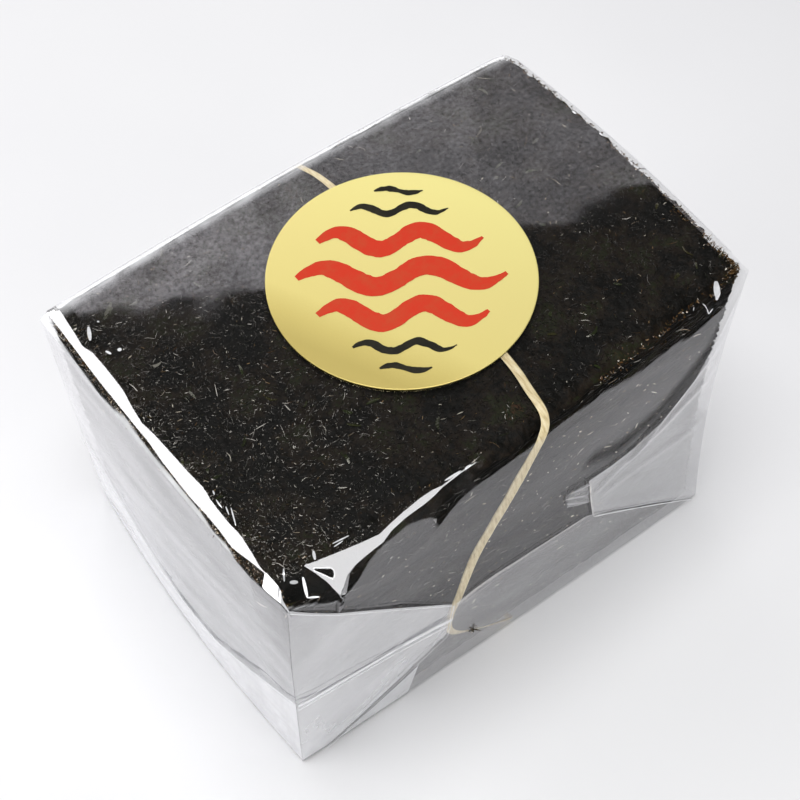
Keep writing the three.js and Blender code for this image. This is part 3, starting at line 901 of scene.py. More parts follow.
# Folded edges of one long end, whitened with haze that also paints their highlights: their stations and
# widths. Then its cut edge and its seam.
FOLD_LINES = [
    ([(0.0, 0.442), (0.03, 0.428), (0.217, 0.383), (0.305, 0.345), (0.342, 0.325)], 2.1),
    ([(0.0, 0.465), (0.13, 0.43), (0.27, 0.372), (0.34, 0.335)], 0.6),
    ([(0.0, 0.415), (0.2, 0.362), (0.33, 0.305)], 0.7),
    ([(0.0, 0.972), (0.087, 0.829), (0.343, 0.408)], 0.4),
    ([(0.343, 0.408), (0.334, 0.238), (0.2, 0.133), (0.055, 0.01)], 0.6),
    ([(0.692, 0.338), (0.80, 0.217), (0.984, 0.012)], 0.7),
]
CUT_EDGE = ([(0.661, 0.557), (0.675, 0.45), (0.692, 0.338)], 1.1)
SEAM_LINES = [([(0.352, 0.395), (0.40, 0.411), (0.448, 0.409)], 3.2),
              ([(0.44, 0.409), (0.555, 0.388), (0.668, 0.362)], 1.6),
              ([(0.37, 0.378), (0.45, 0.383), (0.555, 0.362), (0.66, 0.34)], 0.6)]


def make_lines(name, wall, lines, proud, layers, haze, material):
    """Narrow folds of film along lines on a wall."""
    points, faces = joined([wall_ribbon(wall, stops, proud, width) for stops, width in lines])
    grain = 1 + 0.5 * lump_noise(points, 6.0, 91)
    add_piece(name, points, faces, material, "film", layers=layers, haze=haze * grain)


def make_long_end(wall, side, film, seam):
    """All folded film of one long end."""
    for flap in FLAPS:
        make_flap(wall, side, film, *flap)
    make_lines(f"film_folds_{side}", wall, FOLD_LINES, 2.0, 3.0, 0.9, film)
    make_lines(f"film_cut_edge_{side}", wall, [CUT_EDGE], 1.8, 2.0, 0.35, seam)
    make_lines(f"film_seam_{side}", wall, SEAM_LINES, 1.4, 2.0, 0.24, seam)


def make_creases(film):
    """The edges of the gusset creases of both short walls, whitened with haze that also paints their
    highlights.
    """
    mirrored = [(1 - share, level) for share, level in CREASE_LINE[:-1]]
    for name, wall, line in (("left", LEFT, CREASE_LINE), ("right", RIGHT, mirrored)):
        make_lines(f"film_crease_{name}", wall, [(line, CREASE_WIDTH)], 1.5, 3.0, 0.95, film)


# Painted highlights of small wrinkles of the top film, as white streaks: x and y of both ends, and their
# widths.
WRINKLE_HIGHLIGHTS = [
    (124.0, -84.3, 118.2, -92.0, 3.2), (-127.6, 72.0, -130.9, 64.6, 1.8),
    (-128.3, 55.3, -127.1, 52.3, 1.2), (-123.3, 52.8, -122.2, 51.3, 1.9),
    (-122.7, 72.3, -122.2, 71.2, 0.9), (-121.0, -92.8, -123.6, -99.2, 1.4),
    (-123.6, -99.2, -118.6, -100.6, 0.6), (-127.0, -91.9, -123.9, -93.2, 1.3),
    (-126.0, -86.1, -128.8, -90.5, 0.8), (-111.2, -86.8, -113.1, -90.7, 1.3),
    (-102.8, -89.0, -95.1, -90.1, 0.7), (-103.2, -90.6, -98.5, -90.6, 0.6),
    (-45.9, -93.4, -37.2, -93.7, 1.0), (-35.2, -93.9, -31.8, -93.9, 1.0),
    (-129.2, -36.7, -129.8, -38.8, 0.7), (-130.6, -41.3, -130.7, -46.1, 0.6),
    (-129.1, -46.7, -130.2, -50.8, 0.6), (-127.6, -48.5, -130.7, -56.9, 0.6),
    (140.6, 40.4, 140.9, 37.6, 1.2), (141.7, 20.5, 142.0, 17.8, 1.1), (142.2, -1.1, 142.4, -4.5, 1.0),
    (105.5, -89.0, 104.1, -90.2, 0.35), (110.4, -89.8, 111.1, -93.2, 0.5),
    (111.1, -93.2, 111.3, -96.4, 0.7), (111.3, -96.4, 114.5, -95.1, 0.7),
]


def on_film(place, lift):
    """Points just above the top film; what lies past the front edge goes down the front wall."""
    past = np.clip(-top_insets(place)[FRONT], 0, None)
    place = place + past[:, None] * (INWARD_SHIFT, 1.0)
    height = film_top_height(place) + lift - INWARD_RISE * past
    return np.column_stack([place[:, 0], place[:, 1] - lift * (past > 0), height])


HIGHLIGHT_GRID, HIGHLIGHT_LIFT = (9, 5), 0.3


def make_wrinkle_highlights(material):
    """Narrow white streaks that taper at both ends, just above the top film: painted highlights of its
    wrinkles.
    """
    rows, columns = HIGHLIGHT_GRID
    share, side = np.meshgrid(np.linspace(0, 1, rows), np.linspace(-0.5, 0.5, columns), indexing="ij")
    taper = np.sin(np.pi * lerp(0.08, 0.92, share)) ** 0.6
    parts = []
    for *ends, width in WRINKLE_HIGHLIGHTS:
        start, end = np.reshape(ends, (2, 2))
        run = end - start
        across = np.array((-run[1], run[0])) / np.linalg.norm(run)
        place = start + share[..., None] * run + (side * taper * width)[..., None] * across
        parts.append((on_film(place.reshape(-1, 2), HIGHLIGHT_LIFT), grid_faces(rows, columns)))
    add_piece("film_wrinkle_highlights", *joined(parts), material, "film", layers=GLEAM_LAYERS, haze=HIGHLIGHT_HAZE)


# The stack of sheets.
def perimeter(step):
    """(wall, share along) of points round an outline, about one step apart."""
    walls = []
    shares = []
    for wall in range(4):
        length = np.linalg.norm(NORI_TOP_CORNERS[(wall + 1) % 4] - NORI_TOP_CORNERS[wall])
        count = int(length / step)
        walls.append(np.full(count, wall))
        shares.append(np.arange(count) / count)
    return np.concatenate(walls), np.concatenate(shares)


def outline_points(walls, shares, height, proud):
    """Points on the walls of the stack, each on its own wall."""
    points = np.zeros((len(walls), 3))
    for wall in range(4):
        here = walls == wall
        points[here] = wall_points(wall, shares[here], height[here], proud[here], NORI_FORM)
    return points


def edge_lumps(place):
    """Lumps of the upper sheets' common edge, stronger towards the near right corner."""
    near = np.clip(1 - np.linalg.norm(place - NORI_TOP_CORNERS[1], axis=1) / 90, 0, 1)
    coarse = lump_noise(place, 13.0, 141) * (0.7 + 2.0 * near)
    return coarse + lump_noise(place, 5.0, 143) * (0.4 + 1.6 * near)


# Places round the stack lie about this far apart, for the sheets' rims and for the core behind them.
RIM_STEP, CORE_STEP = 2.3, 9.0
NORI_MIDDLE = NORI_TOP_CORNERS.mean(axis=0)
# Each sheet takes its unevenness from noise that lies this far from its neighbour's.
NOISE_STEP = 40
SHEET_LEVELS = np.linspace(1.2, NORI_TOP - 1.6, SHEET_COUNT)
CORE_LEVELS = np.linspace(1.5, NORI_TOP - 2.0, 24)
CORE_INSET = 3.2


def make_sheets(material, random):
    """The rims of all sheets below the top one, each with its own ragged outline."""
    walls, shares = perimeter(RIM_STEP)
    count = len(walls)
    parts = []
    for index, level in enumerate(SHEET_LEVELS):
        height = np.full(count, level)
        smooth = outline_points(walls, shares, height, np.zeros(count))
        own = smooth + (0, 0, NOISE_STEP * index)
        ragged = 0.6 * lump_noise(own, (22.0, 22.0, 9.0), 101)
        ragged += 0.5 * lump_noise(own, (5.0, 5.0, 5.0), 102) - 0.5
        ragged += edge_lumps(smooth[:, :2]) * ramp(level, NORI_TOP - 30, NORI_TOP)
        edge = outline_points(walls, shares, height, ragged)
        edge[:, :2] += random.normal(0, 0.28, 2)
        edge[:, 2] += 0.55 * lump_noise(own, (16.0, 16.0, 9.0), 103)
        inner = edge.copy()
        inner[:, :2] += unit(NORI_MIDDLE - edge[:, :2]) * RIM_WIDTH
        inner[:, 2] = level
        under = edge - (0, 0, SHEET_THICKNESS)
        points = under_film(np.concatenate([inner, edge, under]), EDGE_GAP)
        parts.append((points, ring_faces(3, count)[:, ::-1]))
    add_piece("nori_sheets", *joined(parts), material, "nori")


def make_core(material):
    """The dark inside of the stack, behind the rims: rings of points that close to a point at both ends."""
    walls, shares = perimeter(CORE_STEP)
    count = len(walls)
    inset = np.full(count, -CORE_INSET)
    rings = [outline_points(walls, shares, np.full(count, level), inset) for level in CORE_LEVELS]
    ends = [np.tile((*NORI_MIDDLE, level), (count, 1)) for level in CORE_LEVELS[[0, -1]]]
    points = under_film(np.concatenate([ends[0], *rings, ends[1]]), 2.0)
    add_piece("nori_core", points, ring_faces(len(rings) + 2, count), material, "nori")


def nori_relief(place):
    """Height of the crinkled top sheet over its mean level."""
    relief = 0.9 * lump_noise(place, 38.0, 121) + 0.5 * lump_noise(place, 11.0, 122)
    warp = np.stack([lump_noise(place, 15.0, 123), lump_noise(place, 15.0, 124)], axis=1)
    for index, angle in enumerate((10, 55, 100, 145)):
        ridges = lump_noise(turned(place + 4 * warp, angle), (9.0, 1.9), 131 + index)
        relief += 0.34 * np.clip(1 - np.abs(ridges) * 2.2, 0, None)
    return relief


# Grid of the top and bottom sheets, their sides for counting insets, and their bent edge's width and drop.
SHEET_GRID = (250, 176)
SHEET_SIDES = (270, 185)
BENT_EDGE, BENT_DROP = 7.0, 2.6


def make_end_sheet(material, name, level, facing):
    """The top or bottom sheet of the stack: crinkled, with a ragged edge that bends towards the stack."""
    columns, rows = SHEET_GRID
    u, v = grid_shares(np.linspace(0, 1, columns), np.linspace(0, 1, rows))
    place = patch(u, v, level, NORI_FORM)
    inset = np.minimum(np.minimum(u, 1 - u) * SHEET_SIDES[0], np.minimum(v, 1 - v) * SHEET_SIDES[1])
    edge = 1 - np.clip(inset / BENT_EDGE, 0, 1)
    ragged = edge_lumps(place) + 0.9 * lump_noise(place, 3.0, 142) - 0.6
    centre = np.mean([wall_points(wall, 0.0, level, form=NORI_FORM)[:2] for wall in range(4)], axis=0)
    place = place + unit(place - centre) * (edge * ragged)[:, None]
    height = level + facing * nori_relief(place) - facing * BENT_DROP * edge ** 2
    points = under_film(np.column_stack([place, np.maximum(height, 0.4)]), 0.8)
    add_piece(name, points, grid_faces(rows, columns)[:, ::facing], material, "nori")


# Loose blades of seaweed: short narrow curved strips.
def blade_strips(base, ahead, aside, length, width, bend, arch, sections=4):
    """Points and faces of many strips; each has its middle at its base and bends in its own plane."""
    count = len(base)
    up = np.cross(ahead, aside)
    points = np.zeros((count, sections, 2, 3))
    for index, spot in enumerate(np.linspace(-0.5, 0.5, sections)):
        along = length * spot
        sideways = bend * length * (spot * spot)
        lift = arch * length * (0.25 - spot * spot) * 4
        middle = base + ahead * along[:, None] + aside * sideways[:, None] + up * lift[:, None]
        half = width * (0.5 if abs(spot) < 0.3 else 0.22)
        points[:, index, 0] = middle - aside * half[:, None]
        points[:, index, 1] = middle + aside * half[:, None]
    strip = grid_faces(sections, 2)
    faces = (strip[None] + (np.arange(count) * sections * 2)[:, None, None]).reshape(-1, 4)
    return points.reshape(-1, 3), faces


def add_blades(name, strips, material, shade):
    """Strips as one piece, each with one shade all over."""
    points, faces = strips
    add_piece(name, points, faces, material, "nori", shade=np.repeat(shade, len(points) // len(shade)))


def kept_under(strips):
    """Strips of which no point reaches through the film's top."""
    points, faces = strips
    return under_film(points, SKIN_GAP), faces


def tilted_axes(heading, pitch, roll):
    """Directions ahead and aside of strips that lie at a heading, pitched and rolled by small angles."""
    flat = np.cos(pitch)
    ahead = np.stack([np.cos(heading) * flat, np.sin(heading) * flat, np.sin(pitch)], axis=1)
    level = np.stack([-np.sin(heading), np.cos(heading), np.zeros(len(heading))], axis=1)
    up = np.cross(ahead, level)
    aside = level * np.cos(roll)[:, None] + up * np.sin(roll)[:, None]
    return ahead, aside


# Numbers of blades on the top sheet, along the edges and in the fringe, of flecks, and of the crumb's bits.
BLADE_COUNT, RIM_BLADE_COUNT, FRINGE_COUNT, FLECK_COUNT, CRUMB_COUNT = 31000, 7000, 5200, 1600, 14
BROAD_SHARE = 0.0015
CRUMB_PLACE = np.array([-30.3, -101.4, 26.8])
# One broad olive blade beside the far left corner: place, heading, length, width, bend and shade.
OLIVE_PLACE = np.array([(-114.6, 76.1)])
OLIVE_HEADING, OLIVE_LENGTH, OLIVE_WIDTH, OLIVE_BEND, OLIVE_SHADE = 41.0, 9.5, 2.8, 0.2, 0.69


def blade_shades(random, count, pale):
    """Mostly black, some green and red-brown, and a given share of pale bits."""
    shade = np.clip(random.normal(0.3, 0.2, count), 0, 0.88)
    return np.where(random.random(count) < pale, random.uniform(0.9, 1.0, count), shade)


def make_top_blades(material, random):
    """Blades pressed on the top sheet, in swirls and tufts, more ruffled to the left, a few of them broad."""
    corners = lerp(NORI_TOP_CORNERS, NORI_MIDDLE, 0.02)
    across, deep = random.random((2, BLADE_COUNT)) ** np.array((1.35, 1.0))[:, None]
    place = between(corners, across, deep)
    place = place[film_top_height(place) > PACK_HEIGHT - 1.0]
    count = len(place)
    broad = random.random(count) < BROAD_SHARE
    tufts = 0.6 * lump_noise(place, 24.0, 152) + 0.6 * lump_noise(place, 9.0, 153)
    strand = random.random(count) < 0.012 + 0.08 * ramp(tufts, 0.0, 0.6)
    ruffled = np.where(strand | (random.random(count) < 0.3), 1.6, 0.3)
    loose = ruffled * np.clip(0.08 + 0.38 * tufts + 0.14 * ramp(-place[:, 0], -40, 120), 0.03, 0.55)
    heading = lump_noise(place, 28.0, 151) * 2.4 + random.normal(1.1, 0.8, count)
    roll = random.normal(0, 1, count) * loose
    ahead, aside = tilted_axes(heading, random.normal(0, 0.5, count) * loose, roll)
    length = np.where(broad | strand, random.uniform(3.0, 8.0, count), random.gamma(1.3, 0.95, count) + 0.3)
    width = np.where(broad, random.uniform(0.9, 1.8, count), random.gamma(2.0, 0.06, count) + 0.07)
    base = np.column_stack([place, NORI_TOP + nori_relief(place) + random.uniform(0.02, 0.25, count)])
    strips = blade_strips(under_film(base, BLADE_GAP), ahead, aside, length, width,
                          random.normal(0, 0.45, count), random.uniform(0, 0.05, count))
    shade = np.where(broad, random.uniform(0.62, 0.72, count), blade_shades(random, count, 0.01))
    add_blades("nori_top_blades", kept_under(strips), material, shade)


def edge_strips(random, base, heading, pitch, roll, length, width, bend, arch=None):
    """Strips at the sheets' edges, each drawn from spreads of its turns (radians) and sizes (millimetres)."""
    count = len(base)
    heading = heading[0] + random.normal(0, heading[1], count)
    ahead, aside = tilted_axes(heading, random.normal(0, pitch, count), random.normal(*roll, count))
    shape, scale, least = length
    lengths = random.gamma(shape, scale, count) + least
    widths = random.uniform(*width, count)
    bends = random.normal(0, bend, count)
    arches = random.normal(0, arch, count) if arch else np.zeros(count)
    return blade_strips(base, ahead, aside, lengths, widths, bends, arches)


def make_rim_blades(material, random):
    """Frayed fibres along the sheets' edges on all four sides, lying along the layers or sticking out."""
    count = RIM_BLADE_COUNT
    walls = random.choice(4, count, p=(0.25, 0.1, 0.30, 0.35))
    shares = random.random(count)
    height = lerp(4.0, NORI_TOP, random.random(count))
    proud = random.uniform(-1.2, 0.6, count)
    base = under_film(outline_points(walls, shares, height, proud), EDGE_GAP)
    along = np.radians(np.array([0.0, 90.0, 180.0, 270.0]))[walls]
    strips = edge_strips(random, base, heading=(along, 0.3), pitch=0.16, roll=(1.2, 0.5),
                         length=(3.0, 1.0, 0.8), width=(0.15, 0.5), bend=0.3, arch=0.04)
    add_blades("nori_rim_blades", kept_under(strips), material, blade_shades(random, count, 0.03))


def make_fringe(material, random):
    """Brown flakes at the top sheets' edges, most round the near right corner, and some pale ones at the left
    that paint sparkles there.
    """
    count = FRINGE_COUNT
    walls = random.choice(4, count, p=(0.06, 0.46, 0.1, 0.38))
    at_right = walls == RIGHT
    shares = np.where(at_right, random.random(count) ** 2.2, random.random(count))
    shares = np.where(walls == FRONT, 1 - 0.35 * shares, shares)
    height = NORI_TOP + np.where(at_right, 0.5, 0.0) - random.gamma(1.2, 3.0, count)
    proud = np.where(at_right, -0.3 - random.gamma(1.3, 1.6, count), random.uniform(-3.0, 0.3, count))
    base = under_film(outline_points(walls, shares, height, proud), EDGE_GAP)
    outwards = np.radians(np.array([-90.0, 0.0, 90.0, 180.0]))[walls]
    strips = edge_strips(random, base, heading=(outwards, 0.9), pitch=0.3, roll=(0, 0.6),
                         length=(2.0, 0.45, 0.5), width=(0.25, 0.8), bend=0.4, arch=0.04)
    brown = np.clip(random.normal(0.79, 0.05, count), 0, 0.86)
    # Painted sparkles: pale flakes along the left edge.
    pale = (walls == LEFT) & (random.random(count) < 0.12)
    add_blades("nori_fringe", kept_under(strips), material, np.where(pale, 0.95, brown))


def make_flecks(material, random):
    """Pale and golden flecks between the film and the sheets' edges: the pale ones paint glints of the edges,
    the golden ones are crumbs.
    """
    count = FLECK_COUNT
    walls = random.choice((FRONT, RIGHT, BACK), count, p=(0.5, 0.16, 0.34))
    proud = random.uniform(1.7, 2.6, count)
    base = under_film(outline_points(walls, random.random(count), random.uniform(4, 166, count), proud), 0.8)
    along = np.radians(90.0) * walls
    strips = edge_strips(random, base, heading=(along, 0.3), pitch=0.35, roll=(1.57, 0.3),
                         length=(1.3, 0.6, 0.3), width=(0.2, 0.7), bend=0.3)
    # Painted glints: the pale flecks are near white; the golden ones are crumbs.
    golden = random.random(count) < 0.35
    shade = np.where(golden, random.uniform(0.84, 0.94, count), random.uniform(0.95, 1.0, count))
    add_blades("nori_flecks", strips, material, shade)


def make_olive_blade(material):
    base = np.column_stack([OLIVE_PLACE, NORI_TOP + nori_relief(OLIVE_PLACE) + 0.5])
    ahead, aside = tilted_axes(np.radians([OLIVE_HEADING]), np.zeros(1), np.zeros(1))
    length, width, bend = (np.array([value]) for value in (OLIVE_LENGTH, OLIVE_WIDTH, OLIVE_BEND))
    strips = blade_strips(under_film(base, BLADE_GAP), ahead, aside, length, width, bend, np.zeros(1), 9)
    add_blades("nori_olive_blade", kept_under(strips), material, [OLIVE_SHADE])


def make_crumb(material, random):
    """A dark crumb caught at the twine's bend."""
    count = CRUMB_COUNT
    ahead, aside = tilted_axes(random.uniform(0, 6.3, count), random.uniform(-1.5, 1.5, count),
                               random.uniform(0, 3, count))
    strips = blade_strips(CRUMB_PLACE + random.normal(0, 0.5, (count, 3)), ahead, aside,
                          random.uniform(3.5, 8.0, count), random.uniform(0.8, 1.7, count),
                          random.normal(0, 0.3, count), np.zeros(count))
    add_blades("nori_crumb", strips, material, random.choice((0.5, 0.78, 0.94), count))


# The twine.
def smooth_path(stops, count):
    """Evenly spaced points on a smooth curve through stops."""
    stops = np.array(stops, float)
    padded = np.vstack([2 * stops[0] - stops[1], stops, 2 * stops[-1] - stops[-2]])
    fine = []
    for index in range(len(stops) - 1):
        before, start, end, after = padded[index: index + 4]
        for share in np.linspace(0, 1, 24, endpoint=False):
            fine.append(0.5 * (2 * start + (end - before) * share
                               + (2 * before - 5 * start + 4 * end - after) * share ** 2
                               + (3 * start - before - 3 * end + after) * share ** 3))
    fine.append(stops[-1])
    return even_spacing(np.array(fine), count)


def even_spacing(path, count):
    steps = np.linalg.norm(np.diff(path, axis=0), axis=1)
    travelled = np.concatenate([[0], np.cumsum(steps)])
    spots = np.linspace(0, travelled[-1], count)
    return np.column_stack([np.interp(spots, travelled, axis) for axis in path.T])


def wall_depth(wall, x, height):
    """The y of the front or back wall at a given x and height."""
    start, end = (place[:, 0] for place in wall_ends(wall, height, FILM_FORM[0]))
    return wall_points(wall, (x - start) / (end - start), height)[..., 1]


# Points along the twine, their distance, how far it lies above the base film, and its points across.
TWINE_POINTS, TWINE_STEP, TWINE_LIFT, TWINE_COLUMNS = 620, 1.6, 1.7, 13
# Half its least thickness, the height of its ridges, and how many there are.
TWINE_CORE, RIDGE_HEIGHT, RIDGE_COUNT = 0.16, 0.28, 2.5


def twine_path():
    """The closed way of the twine under the film: over the top, down the front, under and up the back."""
    y, x = smooth_path(TWINE_TOP, 90).T
    over = np.column_stack([x, y, film_top_height(np.column_stack([x, y])) - TWINE_DEPTH])
    height, x = smooth_path(TWINE_FRONT, 90).T
    depth = TWINE_DEPTH + TWINE_FRONT_DEPTH * np.sin(np.pi * ramp(height, 0, 180))
    down = np.column_stack([x, wall_depth(FRONT, x, height) + depth, height])
    y, x = smooth_path(TWINE_BASE, 60).T
    under = np.column_stack([x, y, np.full(len(x), BASE_LIFT + TWINE_LIFT)])
    height, x = smooth_path(TWINE_BACK, 60).T
    up = np.column_stack([x, wall_depth(BACK, x, height) - TWINE_DEPTH, height])
    closed = np.concatenate([over, down, under, up, over[:1]])
    path = even_spacing(closed, TWINE_POINTS)[:-1]
    for _ in range(3):
        path = (np.roll(path, 1, axis=0) + path + np.roll(path, -1, axis=0)) / 3
    return path


def twine_axes(path):
    """Directions aside and out of the twine: it lies flat against the faces and turns over the edges."""
    run = unit(np.roll(path, -1, axis=0) - np.roll(path, 1, axis=0))
    outward = path - np.array([path[:, 0].mean(), 0.0, PACK_HEIGHT / 2])
    outward[:, 0] = 0
    outward[:, 1:] /= (100.0, PACK_HEIGHT / 2)
    outward = np.sign(outward) * np.abs(outward) ** 6
    aside = unit(np.cross(run, unit(outward)))
    return aside, np.cross(aside, run)


def make_twine(material):
    """A flat band of split straw: ridged across, twisted a little and uneven along its length."""
    path = twine_path()
    count = len(path)
    aside, normal = twine_axes(path)
    travelled = np.arange(count) * TWINE_STEP
    on_front = ramp(-path[:, 1], 90, 98) * np.sin(np.pi * ramp(path[:, 2], 10, 180))
    twist = 0.3 * lump_noise(travelled[:, None], 60.0, 161) - TWINE_FRONT_TWIST * on_front
    spread = 1 + 0.16 * lump_noise(travelled[:, None], 22.0, 162) + 0.25 * on_front
    across = aside * np.cos(twist)[:, None] + normal * np.sin(twist)[:, None]
    profile = np.linspace(-1, 1, TWINE_COLUMNS)
    strands = np.abs(np.sin(profile * np.pi * RIDGE_COUNT))
    upper = TWINE_CORE + RIDGE_HEIGHT * strands * (1 - profile ** 4)
    sides = np.concatenate([profile, profile[::-1]])
    lifts = np.concatenate([upper, np.full(TWINE_COLUMNS, -TWINE_CORE)])
    points = np.zeros((count, len(sides), 3))
    for index, (side, lift) in enumerate(zip(sides, lifts)):
        wobble = 0.10 * lump_noise(np.column_stack([travelled, np.full(count, side * 3)]), (7.0, 0.9), 163)
        points[:, index] = path + across * (side * TWINE_WIDTH / 2 * spread)[:, None]
        points[:, index] += normal * (lift + wobble)[:, None]
    faces = ring_faces(count + 1, len(sides))[:, [0, 3, 2, 1]] % (count * len(sides))
    add_piece("twine_band", points.reshape(-1, 3), faces, material, "twine", "twine")


# The label.
LABEL_SIDES = 160
# The label's rounded cut edge: how far in from its rim, and how far below its top.
CUT_PROFILE = [(0.03, -0.01), (0.0, -0.06), (0.0, -LABEL_THICKNESS)]
LABEL_WAVE = 0.05
# The print's turn in degrees, its height over the foil, and the points along a stroke.
PRINT_TURN, PRINT_LIFT, STROKE_POINTS = -35.0, 0.06, 70


def make_label(material):
    """The foil disc, with a soft cut edge and a slight waviness."""
    sides = LABEL_SIDES
    radius = LABEL_DIAMETER / 2
    angle = np.linspace(0, 2 * np.pi, sides, endpoint=False)
    circle = np.stack([np.cos(angle), np.sin(angle)], axis=1)
    profile = [(share * (radius - 0.5), 0.0) for share in np.linspace(0.06, 1, 22)]
    profile += [(radius - inset, drop) for inset, drop in CUT_PROFILE]
    rings = []
    for distance, drop in profile[::-1]:
        place = LABEL_CENTRE + circle * distance
        wave = LABEL_WAVE * lump_noise(place, 30.0, 171) - LABEL_WAVE
        rings.append(np.column_stack([place, LABEL_TOP + drop + wave * (drop > -0.2)]))
    points = np.concatenate([*rings, [[*LABEL_CENTRE, LABEL_TOP - LABEL_WAVE]]])
    quads = ring_faces(len(rings), sides)
    ring = np.arange(sides)
    last = (len(rings) - 1) * sides
    cap = np.stack([np.full(sides, len(points) - 1), last + ring, last + (ring + 1) % sides], axis=1)
    faces = np.concatenate([quads[:, [0, 1, 2]], quads[:, [0, 2, 3]], cap])
    add_piece("label_disc", points, faces, material, "label", "label")


def brush_stroke(stops, widths, seed):
    """A flat brushed stroke through stops on the label, with widths along it and rough edges."""
    path = smooth_path(stops, STROKE_POINTS)
    width = np.interp(np.linspace(0, 1, STROKE_POINTS), np.linspace(0, 1, len(widths)), widths)
    run = unit(np.gradient(path, axis=0))
    side = np.stack([-run[:, 1], run[:, 0]], axis=1)
    rough = [0.35 * lump_noise(path + offset, 2.2, seed) for offset in (0, 50)]
    left = path + side * (width / 2 + rough[0])[:, None]
    right = path - side * (width / 2 + rough[1])[:, None]
    flat = np.stack([right, left], axis=1).reshape(-1, 2)
    place = LABEL_CENTRE + turned(flat, PRINT_TURN)
    points = np.column_stack([place, np.full(len(place), LABEL_TOP + PRINT_LIFT)])
    return points, grid_faces(STROKE_POINTS, 2)[:, ::-1]


def wave_stations(left, right, level, height, crests):
    """Stations of a wavy line between two places across the label."""
    spots = np.linspace(left, right, 8 * crests + 1)
    return [(spot, level + height * math.sin(index * math.pi / 4)) for index, spot in enumerate(spots)]


# Brushed waves on the label, as (left end, right end, level, height of the crests, number of crests, width).
RED_WAVES = [(-40, 40, 22, 5.5, 2, 10.5), (-50, 50, 0, 6.0, 2, 12.0), (-40, 40, -22, 5.5, 2, 10.5)]
BLACK_WAVES = [(-24, 24, 41, 2.6, 2, 4.4), (-12, 12, 53, 1.6, 1, 3.4), (-24, 24, -41, 2.6, 2, 4.4),
               (-12, 12, -53, 1.6, 1, 3.4)]


def make_waves(name, waves, material):
    taper = np.array((0.3, 0.9, 1.0, 0.85, 1.0, 0.8, 0.15))
    strokes = [brush_stroke(wave_stations(*line), width * taper, 181 + index)
               for index, (*line, width) in enumerate(waves)]
    add_piece(name, *joined(strokes), material, "label")


# Stage, light and camera.
FLOOR_SIDES, FLOOR_RADIUS = 96, 1.6


def make_floor(material):
    bpy.ops.mesh.primitive_circle_add(vertices=FLOOR_SIDES, radius=FLOOR_RADIUS, fill_type="NGON",
                                      location=(0, 0, 0))
    floor = bpy.context.object
    floor.name = "floor"
    floor.data.materials.append(material)


def add_panel(name, centre, target, width, height, radiance, colour=(1.0, 1.0, 1.0)):
    """A rectangular soft light; all places in millimetres of the drawing's frame."""
    light = bpy.data.lights.new(name, "AREA")
    light.shape = "RECTANGLE"
    light.size = width * MM
    light.size_y = height * MM
    light.energy = radiance * math.pi * light.size * light.size_y
    light.color = colour
    lamp = bpy.data.objects.new(name, light)
    bpy.context.scene.collection.objects.link(lamp)
    place = Vector((np.array(centre, float) + SHIFT) * MM)
    aim = Vector((np.array(target, float) + SHIFT) * MM)
    lamp.location = place
    lamp.rotation_mode = "QUATERNION"
    lamp.rotation_quaternion = (aim - place).to_track_quat("-Z", "Y")


# The back wall of light: its middle, what that faces, the way along it, and its panels' count and size.
BACK_MIDDLE = np.array((520, 770, 1057))
BACK_AIM = np.array((158, -160, 1057))
BACK_RUN = np.array((0.932, -0.363, 0.0))
BACK_PANELS, BACK_WIDTH, BACK_HEIGHT = 9, 290, 560
# Its radiance at places along it, from left to right, and its colour.
BACK_LIGHT = [(-1160, 2.4), (-600, 2.15), (0, 1.16), (250, 0.88), (600, 0.72), (1160, 0.65)]
BACK_COLOUR = (0.985, 0.96, 1.0)


def make_lights():
    """A key light at the left, the back wall, one light overhead, and fills behind and in front."""
    world = bpy.data.worlds.new("studio")
    bpy.context.scene.world = world
    world.use_nodes = True
    background = world.node_tree.nodes["Background"]
    background.inputs["Color"].default_value = (0.97, 0.985, 1.0, 1.0)
    background.inputs["Strength"].default_value = 0.03
    add_panel("key_left", (-1180, 520, 570), (-136, 0, 185), 1100, 560, 3.6)
    for index, spot in enumerate(np.linspace(BACK_LIGHT[0][0], BACK_LIGHT[-1][0], BACK_PANELS)):
        place, target = (end + BACK_RUN * spot for end in (BACK_MIDDLE, BACK_AIM))
        radiance = stations(BACK_LIGHT, spot)[0]
        add_panel(f"back_wall_{index}", place, target, BACK_WIDTH, BACK_HEIGHT, radiance, BACK_COLOUR)
    add_panel("overhead", (-150, -50, 2000), (0, 0, 187), 1200, 1200, 7.4)
    add_panel("back_low", (250, 1250, 430), (50, 450, 0), 1300, 300, 2.4)
    add_panel("front_card", (150, -1150, 360), (60, -97, 360), 1100, 700, 2.5)


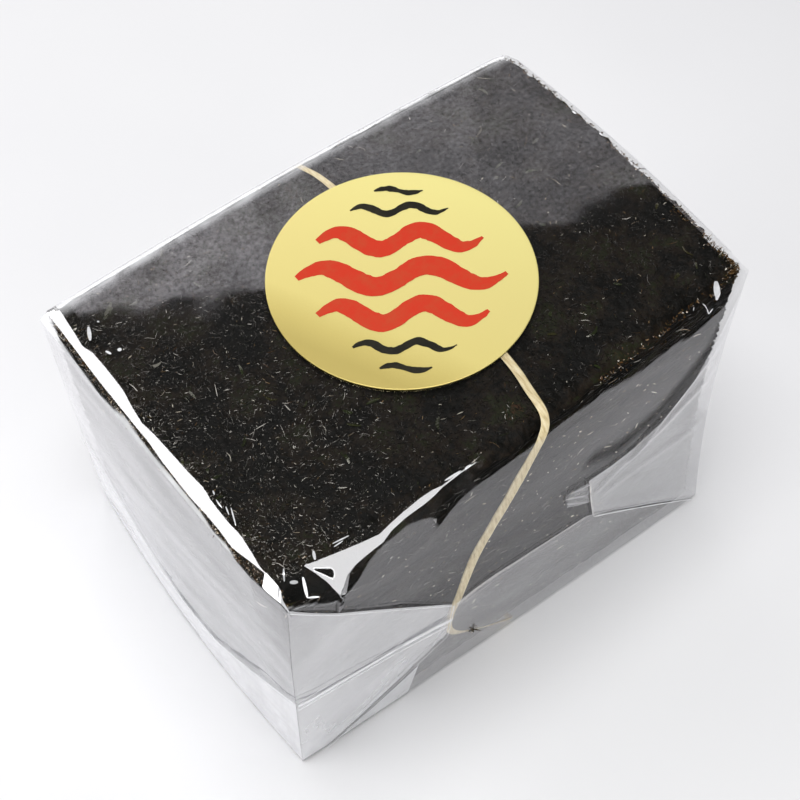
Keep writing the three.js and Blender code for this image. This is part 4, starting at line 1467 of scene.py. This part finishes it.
def make_camera():
    """The photograph's camera, from its aim, distance and angles."""
    azimuth, elevation, roll = (math.radians(v) for v in (CAMERA_AZIMUTH, CAMERA_ELEVATION, CAMERA_ROLL))
    back = Vector((math.sin(azimuth) * math.cos(elevation), -math.cos(azimuth) * math.cos(elevation),
                   math.sin(elevation)))
    level = Vector((0, 0, 1)).cross(back).normalized()
    upright = back.cross(level)
    right = math.cos(roll) * level + math.sin(roll) * upright
    up = math.cos(roll) * upright - math.sin(roll) * level
    camera = bpy.data.cameras.new("camera")
    camera.sensor_width = SENSOR_WIDTH
    camera.lens = FOCAL_PIXELS / IMAGE_PIXELS * SENSOR_WIDTH
    holder = bpy.data.objects.new("camera", camera)
    bpy.context.scene.collection.objects.link(holder)
    eye = Vector((CAMERA_AIM + SHIFT) * MM) + back * CAMERA_DISTANCE * MM
    turn = Matrix((right, up, back)).transposed().to_4x4()
    holder.matrix_world = Matrix.Translation(eye) @ turn
    bpy.context.scene.camera = holder


def main():
    random = np.random.default_rng(7)
    bpy.context.scene.view_settings.view_transform = "Standard"
    make_floor(floor_material())
    make_lights()
    make_camera()
    film = film_material("clear_film", (0.93, 0.94, 0.96), 0.045)
    nori = nori_material("nori", (1.0, 1.0, 1.0))
    layered = nori_material("nori_layers", (1.0, 1.0, 3.0))
    blade = blade_material("nori_blades")
    make_core(layered)
    make_sheets(layered, random)
    make_end_sheet(nori, "nori_top_sheet", NORI_TOP, 1)
    make_end_sheet(nori, "nori_bottom_sheet", 3.0, -1)
    make_top_blades(blade, random)
    make_rim_blades(blade, random)
    make_fringe(blade, random)
    make_flecks(blade, random)
    make_olive_blade(blade)
    make_crumb(blade, random)
    make_twine(twine_material())
    make_film_wrap(film)
    seam = film_material("cut_film", (0.86, 0.80, 0.72), 0.12)
    make_wrinkle_highlights(film)
    for wall, side in ((FRONT, "front"), (BACK, "back")):
        make_long_end(wall, side, film, seam)
    make_creases(film)
    make_label(foil_material())
    red = ink_material("red_ink", (0.50, 0.055, 0.018), (0.56, 0.035, 0.012))
    black = ink_material("black_ink", (0.022, 0.019, 0.010), (0.010, 0.009, 0.005))
    make_waves("label_print_red", RED_WAVES, red)
    make_waves("label_print_black", BLACK_WAVES, black)


main()
